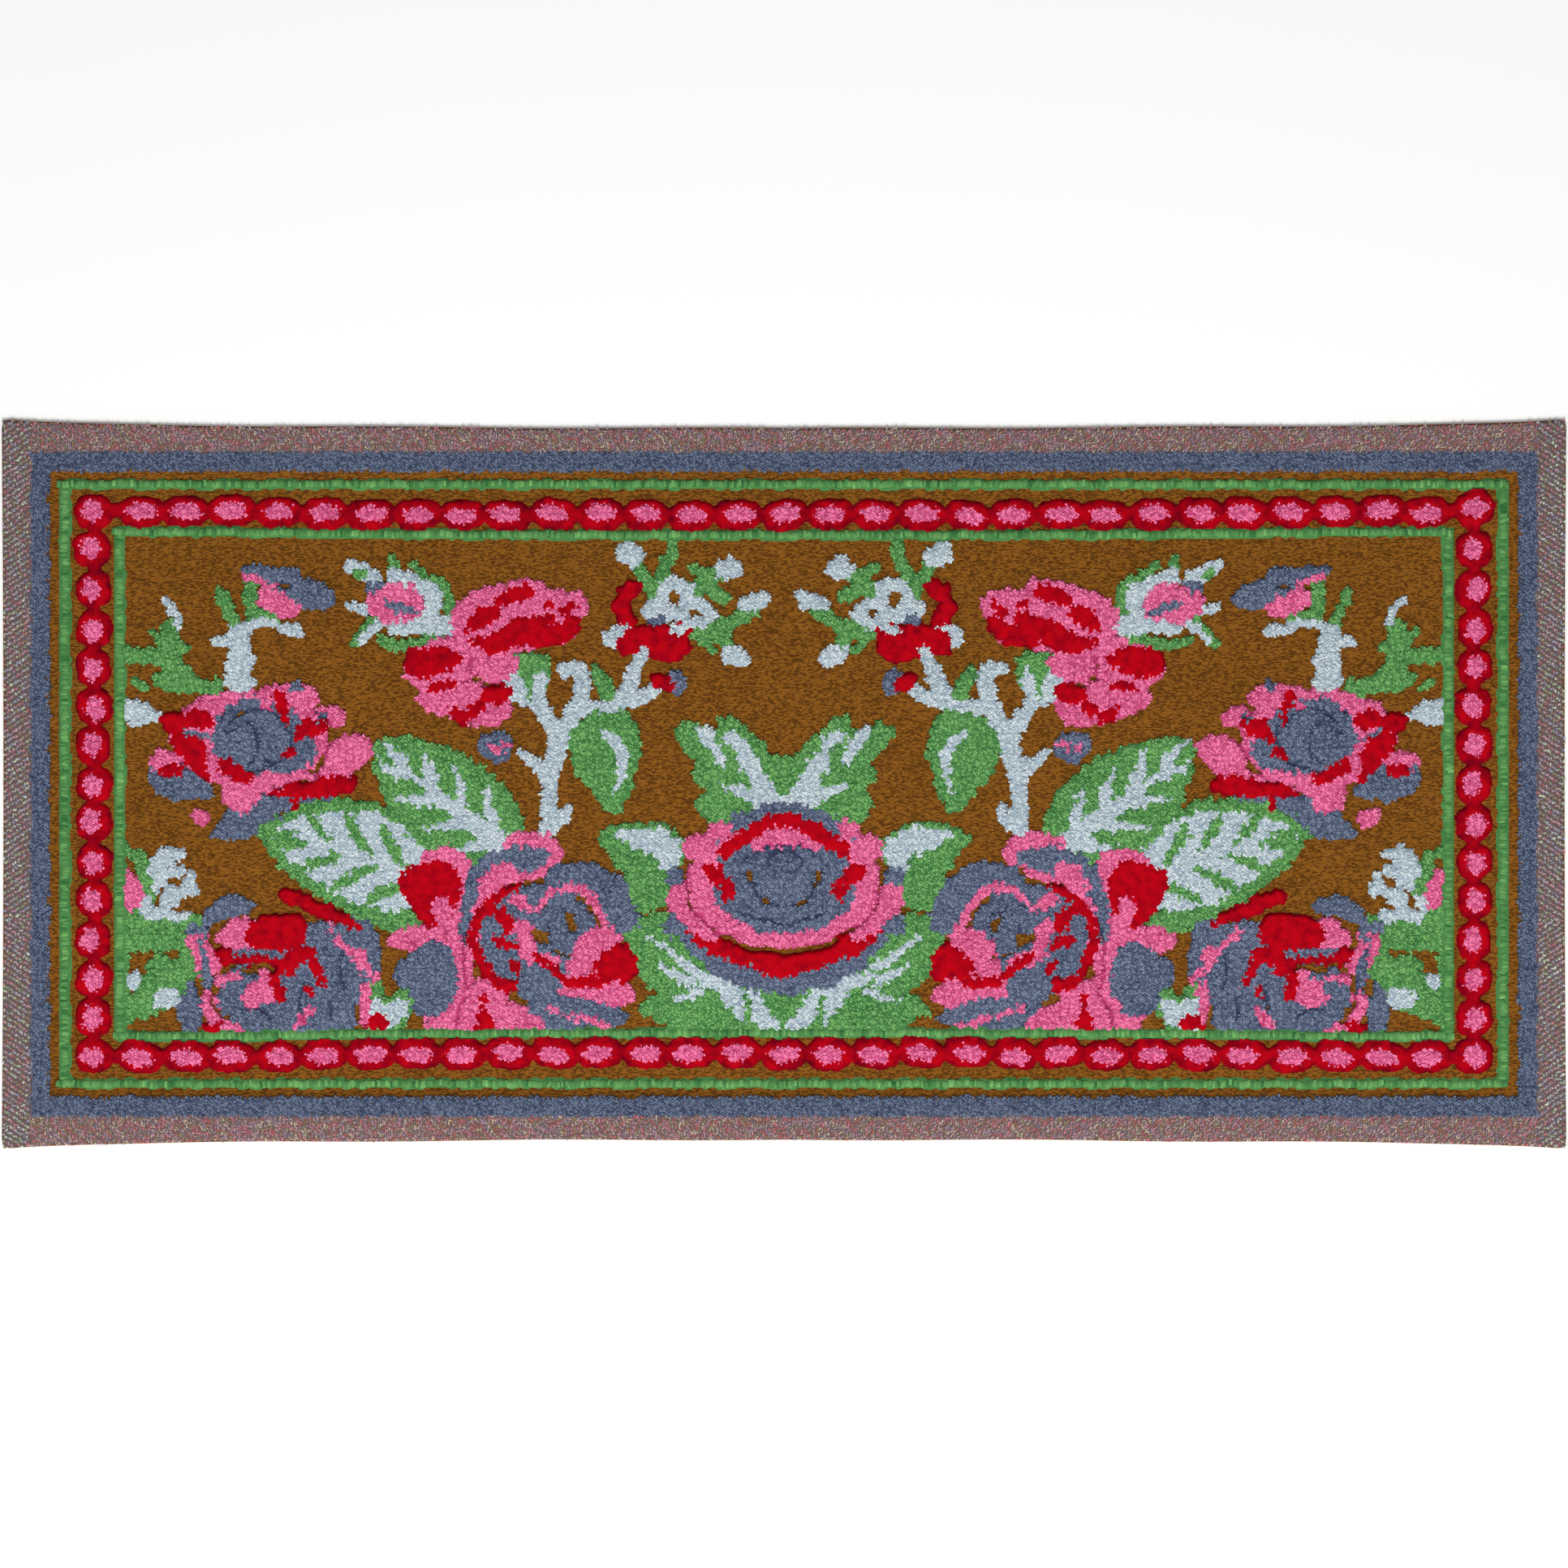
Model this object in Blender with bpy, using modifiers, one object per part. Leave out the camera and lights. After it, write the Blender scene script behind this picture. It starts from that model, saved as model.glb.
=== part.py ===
"""Rose pile rug: a flat woven ground with its borders, bead chain, leaves and roses standing up as pile.

Metres, +Z up. The origin is the middle of the underside, +X runs along the rug and +Y across it.
The motifs are given for the half on +X, in millimetres from the middle, and mirrored to the other.
"""

from collections import namedtuple
from math import cos, pi, radians, sin

import bmesh
import bpy
from mathutils import Matrix, Vector

MM = 0.001

# Driving sizes of the rug
HALF_LENGTH = 750 * MM
CORNER_HALF_DEPTH = 350 * MM
WAIST_HALF_DEPTH = 341 * MM
CORNER_FLARE = 0.45
END_WAIST = 1.6 * MM
CORNER_ROUND = 5 * MM
EDGE_WAVE = 0.6 * MM
EDGE_WAVES = 2.5
EDGE_STEPS = 28
END_STEPS = 10

# Heights of the top of each layer above the floor
GROUND_TOP = 3.0 * MM
OUTER_BAND_TOP = 6.2 * MM
SLATE_BAND_TOP = 7.0 * MM
LINE_TOP = 6.8 * MM
BEAD_TOP = 8.6 * MM
LEAF_TOP = 7.4 * MM
STEM_TOP = 7.8 * MM
PETAL_TOP = 8.0 * MM
HEART_TOP = 8.6 * MM
PILE_ROOT = 1.5 * MM

# Frames of the border, as half lengths and half depths of their outer and inner edges
Frame = namedtuple("Frame", "outer_x outer_y inner_x inner_y")
SLATE_BAND = Frame(725 * MM, 318.5 * MM, 705 * MM, 300 * MM)
OUTER_LINE = Frame(696 * MM, 292.5 * MM, 686 * MM, 283 * MM)
INNER_LINE = Frame(643 * MM, 246 * MM, 633 * MM, 236 * MM)
LINE_WAVE = 1.0 * MM
LINE_WAVES = 3
LINE_STEPS = 8

# The bead chain
BEAD_ROW_X = 662 * MM
BEAD_ROW_Y = 262 * MM
BEADS_LONG = 31
BEADS_SHORT = 15
BEAD_LONG_SIZE = (41 * MM, 29 * MM)
BEAD_SHORT_SIZE = (33 * MM, 36 * MM)
BEAD_CORNER_SIZE = (37 * MM, 33 * MM)
BEAD_SIDES = 8
BEAD_CROWN = 0.62

# A blade is a leaf, petal or stem from its root to its tip. Bend is the sideways bow of its middle as a
# share of its length, to the left as one looks along it. Sizes are millimetres.
Blade = namedtuple("Blade", "form root_x root_y tip_x tip_y width bend")

# An arc is a curved band of pile round a centre, with its angles in degrees from +X.
Arc = namedtuple("Arc", "x y radius_x radius_y start end breadth")

CENTRE_ROSE = [
    Arc(0, -97, 84, 76, 38, 142, 20),
    Arc(0, -100, 101, 84, 197, 343, 26),
    Blade("oval", 95, -92, 116, -122, 30, 0.0),
]
CENTRE_ROSE_DISC = Blade("disc", -93, -99, 93, -99, 122, 0.0)
CENTRE_ROSE_HEART = Blade("disc", -63, -100, 63, -100, 88, 0.0)

CENTRE_LEAVES = [
    Blade("leaf", -10, -36, 101, 58, 74, -0.04),
    Blade("leaf", 10, -24, 86, -22, 40, 0.0),
    Blade("leaf", 96, -86, 173, -46, 62, 0.10),
    Blade("leaf", 112, -70, 122, -120, 44, 0.0),
    Blade("leaf", -10, -226, 150, -136, 74, 0.02),
    Blade("leaf", 24, -222, 137, -213, 48, 0.0),
]

FLANK_ROSE = [
    Blade("petal", 296, -132, 348, -60, 78, 0.0),
    Blade("petal", 298, -160, 352, -212, 76, 0.12),
    Blade("petal", 296, -124, 222, -56, 62, 0.16),
    Blade("petal", 222, -128, 146, -104, 84, 0.08),
    Blade("petal", 186, -154, 138, -184, 46, 0.0),
    Blade("petal", 232, -186, 142, -212, 52, -0.06),
    Blade("petal", 262, -192, 262, -232, 62, 0.0),
]
FLANK_ROSE_DISC = Blade("disc", 292, -146, 176, -146, 100, 0.0)
FLANK_ROSE_HEART = Blade("oval", 244, -146, 194, -150, 52, 0.0)

FLANK_LEAVES = [
    Blade("leaf", 338, -98, 508, -45, 108, 0.03),
    Blade("leaf", 262, -62, 390, 36, 92, -0.03),
    Blade("petal", 416, -10, 549, -50, 36, 0.14),
]

BRANCH = [
    Blade("stem", 228, -56, 214, 50, 20, 0.04),
    Blade("stem", 224, -50, 204, -22, 11, 0.0),
    Blade("stem", 218, 40, 250, 96, 18, 0.04),
    Blade("stem", 214, 44, 193, 108, 22, -0.05),
    Blade("stem", 194, 112, 214, 112, 13, 0.15),
    Blade("stem", 196, 74, 132, 132, 16, 0.10),
    Blade("stem", 168, 74, 120, 92, 16, -0.05),
    Blade("stem", 226, 12, 262, 32, 11, 0.0),
    Blade("oval", 262, 36, 290, 36, 30, 0.0),
    Blade("oval", 118, 100, 96, 98, 22, 0.0),
    Blade("leaf", 164, 82, 182, 117, 15, 0.0),
    Blade("leaf", 168, 68, 157, -28, 70, 0.02),
    Blade("petal", 242, 78, 250, 126, 52, 0.0),
]

CARNATION = [
    Blade("petal", 286, 140, 192, 176, 74, 0.0),
    Blade("petal", 296, 136, 298, 182, 40, 0.0),
    Blade("petal", 292, 128, 362, 112, 56, 0.0),
    Blade("petal", 288, 116, 300, 58, 72, 0.0),
    Blade("petal", 300, 134, 254, 108, 40, 0.0),
]

OPEN_BUD = [
    Arc(362, 168, 30, 27, -120, 110, 24),
    Blade("oval", 398, 172, 346, 172, 40, 0.0),
    Blade("stem", 388, 188, 420, 216, 17, 0.0),
    Blade("stem", 390, 166, 420, 174, 10, 0.0),
    Blade("stem", 388, 152, 416, 122, 15, -0.08),
    Blade("stem", 394, 130, 318, 140, 20, 0.05),
    Blade("stem", 368, 196, 372, 218, 11, 0.0),
]

HOOKED_BUD = [
    Blade("leaf", 518, 206, 428, 175, 40, -0.08),
    Blade("petal", 512, 200, 470, 168, 28, 0.0),
    Blade("leaf", 514, 152, 512, 202, 20, 0.0),
    Blade("stem", 520, 152, 542, 188, 11, 0.0),
    Blade("stem", 520, 92, 522, 150, 23, 0.0),
    Blade("stem", 526, 144, 460, 143, 12, -0.22),
]

THORN_BRANCH = [
    Blade("stem", 634, 124, 594, 124, 19, 0.0),
    Blade("stem", 588, 160, 590, 108, 20, 0.05),
    Blade("stem", 596, 108, 534, 92, 18, 0.08),
    Blade("stem", 596, 104, 625, 102, 13, 0.0),
    Blade("stem", 583, 152, 594, 181, 9, 0.10),
    Blade("stem", 634, 74, 598, 62, 20, 0.0),
]

SIDE_ROSE = [
    Blade("disc", 597, 40, 402, 40, 98, 0.03),
    Blade("petal", 450, 20, 396, 40, 46, 0.0),
    Blade("petal", 560, 10, 610, 12, 36, 0.10),
    Blade("petal", 548, 0, 454, -14, 40, 0.0),
    Blade("petal", 470, 4, 410, -4, 24, 0.0),
    Blade("oval", 548, -30, 571, -34, 18, 0.0),
]
SIDE_ROSE_HEART = Blade("disc", 549, 46, 448, 46, 66, 0.0)

CORNER_LEAVES = [
    Blade("petal", 560, -140, 644, -136, 52, 0.0),
    Blade("petal", 560, -166, 636, -226, 40, 0.12),
    Blade("stem", 604, -116, 632, -60, 13, -0.08),
    Blade("stem", 626, -88, 622, -122, 20, 0.0),
    Blade("stem", 590, -110, 568, -62, 12, 0.10),
    Blade("stem", 578, -114, 552, -82, 12, 0.10),
    Blade("oval", 604, -207, 579, -206, 20, 0.0),
]

CORNER_ROSE = [
    Blade("petal", 566, -142, 508, -112, 26, 0.14),
    Blade("petal", 520, -146, 462, -140, 40, 0.12),
    Blade("petal", 440, -186, 400, -136, 50, -0.10),
    Blade("oval", 564, -150, 556, -228, 28, -0.06),
    Blade("petal", 402, -234, 396, -190, 18, 0.0),
    Blade("leaf", 398, -234, 350, -196, 26, 0.0),
    Blade("stem", 408, -134, 481, -104, 11, 0.06),
]
CORNER_ROSE_DISC = Blade("disc", 546, -194, 402, -194, 80, 0.0)
CORNER_ROSE_HEART = Blade("oval", 524, -194, 474, -194, 46, 0.0)

BLOSSOM = [
    Blade("oval", 106, 158, 106, 198, 40, 0.0),
    Blade("oval", 102, 160, 67, 164, 34, 0.0),
    Arc(142, 170, 14, 16, 70, 290, 13),
    Blade("petal", 150, 132, 92, 146, 30, -0.20),
    Blade("stem", 126, 184, 142, 216, 12, 0.0),
    Blade("stem", 122, 190, 108, 234, 10, 0.0),
    Blade("oval", 160, 222, 132, 219, 20, 0.0),
    Blade("stem", 88, 186, 58, 204, 13, 0.0),
    Blade("oval", 66, 208, 38, 206, 20, 0.0),
    Blade("stem", 92, 144, 48, 148, 16, 0.0),
    Blade("oval", 42, 172, 12, 178, 18, 0.0),
    Blade("oval", 64, 134, 34, 118, 18, 0.0),
    Blade("oval", 170, 140, 146, 144, 20, 0.0),
]

# Each group of pile with the height of its top
PILE = [
    (CENTRE_LEAVES, LEAF_TOP),
    (FLANK_LEAVES, LEAF_TOP),
    (CORNER_LEAVES, LEAF_TOP),
    (BRANCH, STEM_TOP),
    (THORN_BRANCH, STEM_TOP),
    (BLOSSOM, STEM_TOP),
    (OPEN_BUD, STEM_TOP),
    (HOOKED_BUD, STEM_TOP),
    (CARNATION, PETAL_TOP),
    (SIDE_ROSE, PETAL_TOP),
    (CORNER_ROSE, PETAL_TOP),
    (FLANK_ROSE, PETAL_TOP),
    (CENTRE_ROSE, PETAL_TOP),
    ([CENTRE_ROSE_DISC, FLANK_ROSE_DISC, CORNER_ROSE_DISC], PETAL_TOP),
    ([CENTRE_ROSE_HEART, FLANK_ROSE_HEART, CORNER_ROSE_HEART, SIDE_ROSE_HEART], HEART_TOP),
]

# How wide a blade is along its length: powers of the way from the root and of the way to the tip
FORM_POWERS = {
    "leaf": (0.55, 0.85),
    "petal": (0.75, 0.40),
    "oval": (0.5, 0.5),
    "disc": (0.5, 0.5),
}
FORM_STEPS = {"leaf": 6, "petal": 4, "oval": 4, "disc": 7}
LEAF_NOTCH = 0.20
ARC_STEP = radians(24)
ARC_TAPER = 0.25
FLAT_ANGLE = radians(0.05)

YARN_COLOUR = (0.118, 0.074, 0.018, 1.0)
YARN_ROUGHNESS = 0.9


def clear_scene():
    """Remove every object, so that the script can be run again."""
    for thing in list(bpy.data.objects):
        bpy.data.objects.remove(thing, do_unlink=True)


def new_collection(name):
    """A collection of its own under the scene."""
    made = bpy.data.collections.new(name)
    bpy.context.scene.collection.children.link(made)
    return made


def yarn_material():
    """Wool yarn in the brown of the ground weave."""
    made = bpy.data.materials.new("wool_yarn")
    made.use_nodes = True
    shader = made.node_tree.nodes["Principled BSDF"]
    shader.inputs["Base Color"].default_value = YARN_COLOUR
    shader.inputs["Roughness"].default_value = YARN_ROUGHNESS
    return made


def flat_prism(splines, bottom, top):
    """A closed mesh with the given flat outlines, from the height bottom to the height top."""
    curve = bpy.data.curves.new("outline", "CURVE")
    curve.dimensions = "2D"
    curve.fill_mode = "BOTH"
    curve.extrude = (top - bottom) / 2
    for points in splines:
        spline = curve.splines.new("POLY")
        spline.points.add(len(points) - 1)
        for knot, (x, y) in zip(spline.points, points):
            knot.co = (x, y, 0, 1)
        spline.use_cyclic_u = True
    holder = bpy.data.objects.new("outline", curve)
    bpy.context.scene.collection.objects.link(holder)
    holder.location.z = (top + bottom) / 2
    bpy.context.view_layer.update()
    evaluated = holder.evaluated_get(bpy.context.evaluated_depsgraph_get())
    made = bpy.data.meshes.new_from_object(evaluated)
    shape = bmesh.new()
    shape.from_mesh(made)
    shape.transform(holder.matrix_world)
    bmesh.ops.remove_doubles(shape, verts=shape.verts, dist=0.00001)
    bmesh.ops.recalc_face_normals(shape, faces=shape.faces)
    bmesh.ops.dissolve_limit(shape, angle_limit=FLAT_ANGLE, verts=shape.verts, edges=shape.edges)
    shape.to_mesh(made)
    shape.free()
    bpy.data.objects.remove(holder, do_unlink=True)
    bpy.data.curves.remove(curve)
    return made


def half_depth(x):
    """Half the rug's depth at x: it is drawn in towards the middle and flares at the corners."""
    share = abs(x) / HALF_LENGTH
    flare = (1 - CORNER_FLARE) * share**2 + CORNER_FLARE * share**16
    wave = EDGE_WAVE * sin(EDGE_WAVES * 2 * pi * share)
    return WAIST_HALF_DEPTH + (CORNER_HALF_DEPTH - WAIST_HALF_DEPTH) * flare + wave * (1 - share**8)


def rug_outline():
    """The rug's outline: two drawn-in long edges, two nearly straight ends and rounded corners."""
    points = []
    reach = HALF_LENGTH - CORNER_ROUND
    for step in range(EDGE_STEPS + 1):
        x = -reach + 2 * reach * step / EDGE_STEPS
        points.append((x, -half_depth(x)))
    points += corner_points(1, -1)
    points += end_points(1)
    points += corner_points(1, 1)
    for step in range(EDGE_STEPS + 1):
        x = reach - 2 * reach * step / EDGE_STEPS
        points.append((x, half_depth(x)))
    points += corner_points(-1, 1)
    points += end_points(-1)
    points += corner_points(-1, -1)
    return points


def corner_points(side, way):
    """The two middle points of a rounded corner, in the order in which the outline runs."""
    depth = half_depth(HALF_LENGTH - CORNER_ROUND)
    middle = Vector((side * (HALF_LENGTH - CORNER_ROUND), way * (depth - CORNER_ROUND)))
    angles = [30, 60] if side * way > 0 else [60, 30]
    spots = []
    for angle in angles:
        lean = radians(angle)
        spots.append((middle.x + side * CORNER_ROUND * cos(lean), middle.y + way * CORNER_ROUND * sin(lean)))
    return spots


def end_points(side):
    """Points up one short end, which is drawn in a little at its middle."""
    reach = CORNER_HALF_DEPTH - 1.2 * CORNER_ROUND
    spots = []
    for step in range(END_STEPS + 1):
        share = -1 + 2 * step / END_STEPS
        x = HALF_LENGTH - END_WAIST * (1 - share**2)
        spots.append((side * x, side * share * reach))
    return spots


def frame_ring(frame, wave):
    """Outer and inner outline of a rectangular frame whose edges waver by the given amount."""
    outer = wavy_rectangle(frame.outer_x, frame.outer_y, wave)
    inner = wavy_rectangle(frame.inner_x, frame.inner_y, wave)
    return [outer, inner]


def wavy_rectangle(half_x, half_y, wave):
    """A rectangle whose sides waver a little, as lines of hand-set yarn do."""
    points = []
    corners = [(-half_x, -half_y), (half_x, -half_y), (half_x, half_y), (-half_x, half_y)]
    for side, start in enumerate(corners):
        start = Vector(start)
        along = Vector(corners[(side + 1) % 4]) - start
        outward = Vector((along.y, -along.x)).normalized()
        for step in range(LINE_STEPS):
            share = step / LINE_STEPS
            sway = wave * sin(2 * pi * LINE_WAVES * share) * sin(pi * share)
            points.append(tuple(start + along * share + outward * sway))
    return points


def blade_outline(blade):
    """Outline of a leaf, petal, oval or stem."""
    root = Vector((blade.root_x, blade.root_y)) * MM
    tip = Vector((blade.tip_x, blade.tip_y)) * MM
    along = tip - root
    side = Vector((-along.y, along.x))
    if blade.form == "stem":
        return stem_outline(root, along, blade)
    low, high = FORM_POWERS[blade.form]
    peak = low / (low + high)
    widest = peak**low * (1 - peak) ** high
    steps = FORM_STEPS[blade.form]
    near_side, far_side = [], []
    for step in range(1, steps):
        share = (1 - cos(pi * step / steps)) / 2
        half = blade.width * MM / 2 * share**low * (1 - share) ** high / widest
        if blade.form == "leaf" and step % 2 == 0:
            half *= 1 - LEAF_NOTCH
        middle = root + along * share + side * (4 * blade.bend * share * (1 - share))
        reach = side.normalized() * half
        near_side.append(tuple(middle - reach))
        far_side.append(tuple(middle + reach))
    return [tuple(root)] + near_side + [tuple(tip)] + far_side[::-1]


def stem_outline(root, along, blade):
    """A stem of even width, with a knee at its middle where it bends."""
    side = Vector((-along.y, along.x))
    shares = (0, 0.5, 1) if blade.bend else (0, 1)
    spine = [root + along * share + side * (4 * blade.bend * share * (1 - share)) for share in shares]
    reach = side.normalized() * (blade.width * MM / 2)
    return [tuple(knot - reach) for knot in spine] + [tuple(knot + reach) for knot in spine[::-1]]


def arc_outline(arc):
    """Outline of a curved band, which tapers at its ends."""
    start, end = radians(arc.start), radians(arc.end)
    steps = max(4, round((end - start) / ARC_STEP))
    outer, inner = [], []
    for step in range(steps + 1):
        share = step / steps
        angle = start + (end - start) * share
        half = arc.breadth / 2 * (1 - (1 - ARC_TAPER) * abs(2 * share - 1) ** 3)
        outer.append(arc_point(arc, angle, half))
        inner.append(arc_point(arc, angle, -half))
    return outer + inner[::-1]


def arc_point(arc, angle, offset):
    """A point of an arc at an angle, moved outward by an offset."""
    x = arc.x + (arc.radius_x + offset) * cos(angle)
    y = arc.y + (arc.radius_y + offset) * sin(angle)
    return (x * MM, y * MM)


def pile_prism(patch, top):
    """One leaf, petal, stem or arc of pile as a closed mesh."""
    outline = arc_outline(patch) if isinstance(patch, Arc) else blade_outline(patch)
    return flat_prism([outline], PILE_ROOT, top)


def bead_places():
    """Centre and size of every bead of the chain on the half with +X."""
    places = []
    middle = BEADS_LONG // 2
    for index in range(BEADS_LONG - middle):
        x = BEAD_ROW_X * index / middle
        size = BEAD_CORNER_SIZE if index == middle else BEAD_LONG_SIZE
        places.append((x, BEAD_ROW_Y, size))
        places.append((x, -BEAD_ROW_Y, size))
    for index in range(1, BEADS_SHORT - 1):
        y = -BEAD_ROW_Y + 2 * BEAD_ROW_Y * index / (BEADS_SHORT - 1)
        places.append((BEAD_ROW_X, y, BEAD_SHORT_SIZE))
    return places


def add_bead(shape, x, y, size):
    """One bead: a low round frustum of pile, wider at its foot."""
    height = BEAD_TOP - PILE_ROOT
    place = Matrix.Translation((x, y, PILE_ROOT + height / 2)) @ Matrix.Diagonal((size[0], size[1], 1, 1))
    turn = Matrix.Rotation(pi / BEAD_SIDES, 4, "Z")
    bmesh.ops.create_cone(
        shape,
        cap_ends=True,
        segments=BEAD_SIDES,
        radius1=0.5,
        radius2=0.5 * BEAD_CROWN,
        depth=height,
        matrix=place @ turn,
    )


def pile_mesh():
    """All the pile that stands on the ground weave, as closed shells in one mesh."""
    shape = bmesh.new()
    for frame in (OUTER_LINE, INNER_LINE):
        shape.from_mesh(flat_prism(frame_ring(frame, LINE_WAVE), PILE_ROOT, LINE_TOP))
    for patches, top in PILE:
        for patch in patches:
            shape.from_mesh(pile_prism(patch, top))
    for x, y, size in bead_places():
        add_bead(shape, x, y, size)
    made = bpy.data.meshes.new("pile")
    shape.to_mesh(made)
    shape.free()
    return made


def cutter(name, mesh, collection):
    """A hidden object that a Boolean reads."""
    made = bpy.data.objects.new(name, mesh)
    made.hide_render = True
    made.display_type = "WIRE"
    collection.objects.link(made)
    return made


def add_boolean(thing, name, operation, other):
    """Cut or join another object with an exact Boolean."""
    step = thing.modifiers.new(name, "BOOLEAN")
    step.operation = operation
    step.solver = "EXACT"
    step.use_self = operation == "UNION"
    step.object = other


def build_rug():
    """The rug as one closed solid."""
    parts = new_collection("rose_rug")
    cutters = new_collection("cutters")
    rug = bpy.data.objects.new("rug", flat_prism([rug_outline()], 0, OUTER_BAND_TOP))
    parts.objects.link(rug)
    rug.data.materials.append(yarn_material())

    field = wavy_rectangle(SLATE_BAND.inner_x, SLATE_BAND.inner_y, LINE_WAVE)
    pocket = flat_prism([field], GROUND_TOP, 2 * SLATE_BAND_TOP)
    band = flat_prism(frame_ring(SLATE_BAND, LINE_WAVE), PILE_ROOT, SLATE_BAND_TOP)
    add_boolean(rug, "field", "DIFFERENCE", cutter("field_pocket", pocket, cutters))
    add_boolean(rug, "slate_band", "UNION", cutter("slate_band", band, cutters))
    add_boolean(rug, "pile", "UNION", cutter("standing_pile", pile_mesh(), cutters))

    mirror = rug.modifiers.new("both_halves", "MIRROR")
    mirror.use_axis = (True, False, False)
    mirror.use_bisect_axis = (True, False, False)
    mirror.use_clip = True
    mirror.merge_threshold = 0.01 * MM


clear_scene()
build_rug()
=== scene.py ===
import functools
from collections import namedtuple

import bmesh
import bpy
import numpy as np
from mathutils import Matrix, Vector


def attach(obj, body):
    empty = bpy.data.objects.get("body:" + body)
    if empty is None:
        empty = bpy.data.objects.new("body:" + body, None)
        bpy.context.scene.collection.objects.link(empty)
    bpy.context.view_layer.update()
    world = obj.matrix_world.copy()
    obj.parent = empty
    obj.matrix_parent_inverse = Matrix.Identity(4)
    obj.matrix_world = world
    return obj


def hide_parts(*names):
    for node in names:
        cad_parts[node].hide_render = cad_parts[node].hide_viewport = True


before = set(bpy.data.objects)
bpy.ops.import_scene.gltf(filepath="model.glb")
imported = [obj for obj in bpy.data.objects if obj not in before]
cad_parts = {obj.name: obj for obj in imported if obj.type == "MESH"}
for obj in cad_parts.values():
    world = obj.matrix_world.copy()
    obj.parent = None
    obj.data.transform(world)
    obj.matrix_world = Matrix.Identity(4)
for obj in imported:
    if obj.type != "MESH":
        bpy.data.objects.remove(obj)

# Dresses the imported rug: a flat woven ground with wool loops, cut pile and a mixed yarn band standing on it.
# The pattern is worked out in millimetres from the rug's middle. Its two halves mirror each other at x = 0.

bl_info = {
    "name": "Rose pile rug",
    "version": (1, 0, 0),
    "blender": (4, 5, 0),
    "location": "View3D > Sidebar > Rug",
    "description": "Wool loops, cut pile and flat weave for a rug with mirrored roses",
    "category": "Object",
}

MM = 0.001
NODE = "rug"
BODY = "root"

# Outline, as in the part's source

HALF_LENGTH = 750.0
WAIST_HALF_DEPTH = 341.0
CORNER_GAIN = 9.0
CORNER_FLARE = 0.45
EDGE_WAVE = 0.6
EDGE_WAVES = 2.5
END_WAIST = 1.6
CORNER_CUT = 1.5

# Heights above the floor

GROUND_TOP = 3.0
BED_TOP = 4.6
ROOT = 2.2
MIXED_TOP = 6.2
SLATE_BAND_TOP = 7.0
LINE_TOP = 6.8
BEAD_TOP = 8.6
BEAD_RIM = 5.4
LEAF_TOP = 7.4
STEM_TOP = 7.8
PETAL_TOP = 8.0
HEART_TOP = 8.6

# Frames of the border: half lengths and half depths of each band's outer and inner edge

Band = namedtuple("Band", "outer_x outer_y inner_x inner_y")
SLATE_BAND = Band(722.5, 319, 704.5, 300)
OUTER_LINE = Band(694.5, 291.8, 684.3, 282.2)
INNER_LINE = Band(642, 247, 631.8, 237)

# How far the bead chain and the inner line bow in along the long sides, and how far from the middle they do
BOW = 3.2
BOW_REACH = 520.0

# Chain of beads: red lozenges with a pink heart, joined by thin red necks

BEAD_ROW_X = 662.0
BEAD_ROW_Y = 262.0
LONG_BEADS = 31
SHORT_BEADS = 15
LONG_BEAD = (42.5, 27.0)
SHORT_BEAD = (32.0, 33.0)
CORNER_BEAD = (35.0, 31.0)
BEAD_POWERS = (3.0, 2.6, 2.8)
BEAD_MARGIN = 4
LONG_BY = 4
DOME_POWER = 2.2
NECK = 11.0
HEART_SHARE = (0.73, 0.63)
HEART_WAVE = 0.06
HEART_TEETH = 0.10

# How uneven the beads are: place, growth, turn, and the place of the heart
BEAD_SHIFT = 0.7
BEAD_GROWTH = 0.025
BEAD_TURN = 0.07
HEART_SHIFT = 1.1

# Seeds of the random draws
BEAD_SEED = 88
CLUMP_SEED = 74
LATTICE_SEED, LOOP_SEED, INNER_LINE_SEED, OUTER_LINE_SEED = 31, 32, 33, 34
SIDE_SEED, STRAND_SEED, WALE_SEED = 41, 42, 43
SIZE_SEED = 50

GROUND, GREEN, WHITE, PINK, SLATE, RED, MIXED, BAND_SLATE, LINE_GREEN = range(9)

# Leaves come in four styles: bodied in white with green veins, veined in white, crescent, and patched
Patch = namedtuple("Patch", "form yarn root_x root_y tip_x tip_y width bend", defaults=[0.0])
Arc = namedtuple("Arc", "yarn x y radius_x radius_y start end breadth")
Leaf = namedtuple("Leaf", "style root_x root_y tip_x tip_y width bend", defaults=[0.0])
Motif = namedtuple("Motif", "rows top")

# Powers of each form's width, towards its root and towards its tip: they set its widest place and roundness
FORM_POWERS = {
    "blade": (0.55, 0.85), "petal": (0.75, 0.40), "oval": (0.5, 0.5), "stem": (0.10, 0.14),
    "flame": (0.22, 0.95), "serrate": (0.55, 0.75), "pointed": (0.45, 0.95), "lobed": (0.45, 0.45),
}

# One function for each form, called with the yarn, root x and y, tip x and y, width, and bend if any
blade, petal, oval, stem, flame, serrate, pointed, lobed = (
    functools.partial(Patch, form) for form in FORM_POWERS
)

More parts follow.
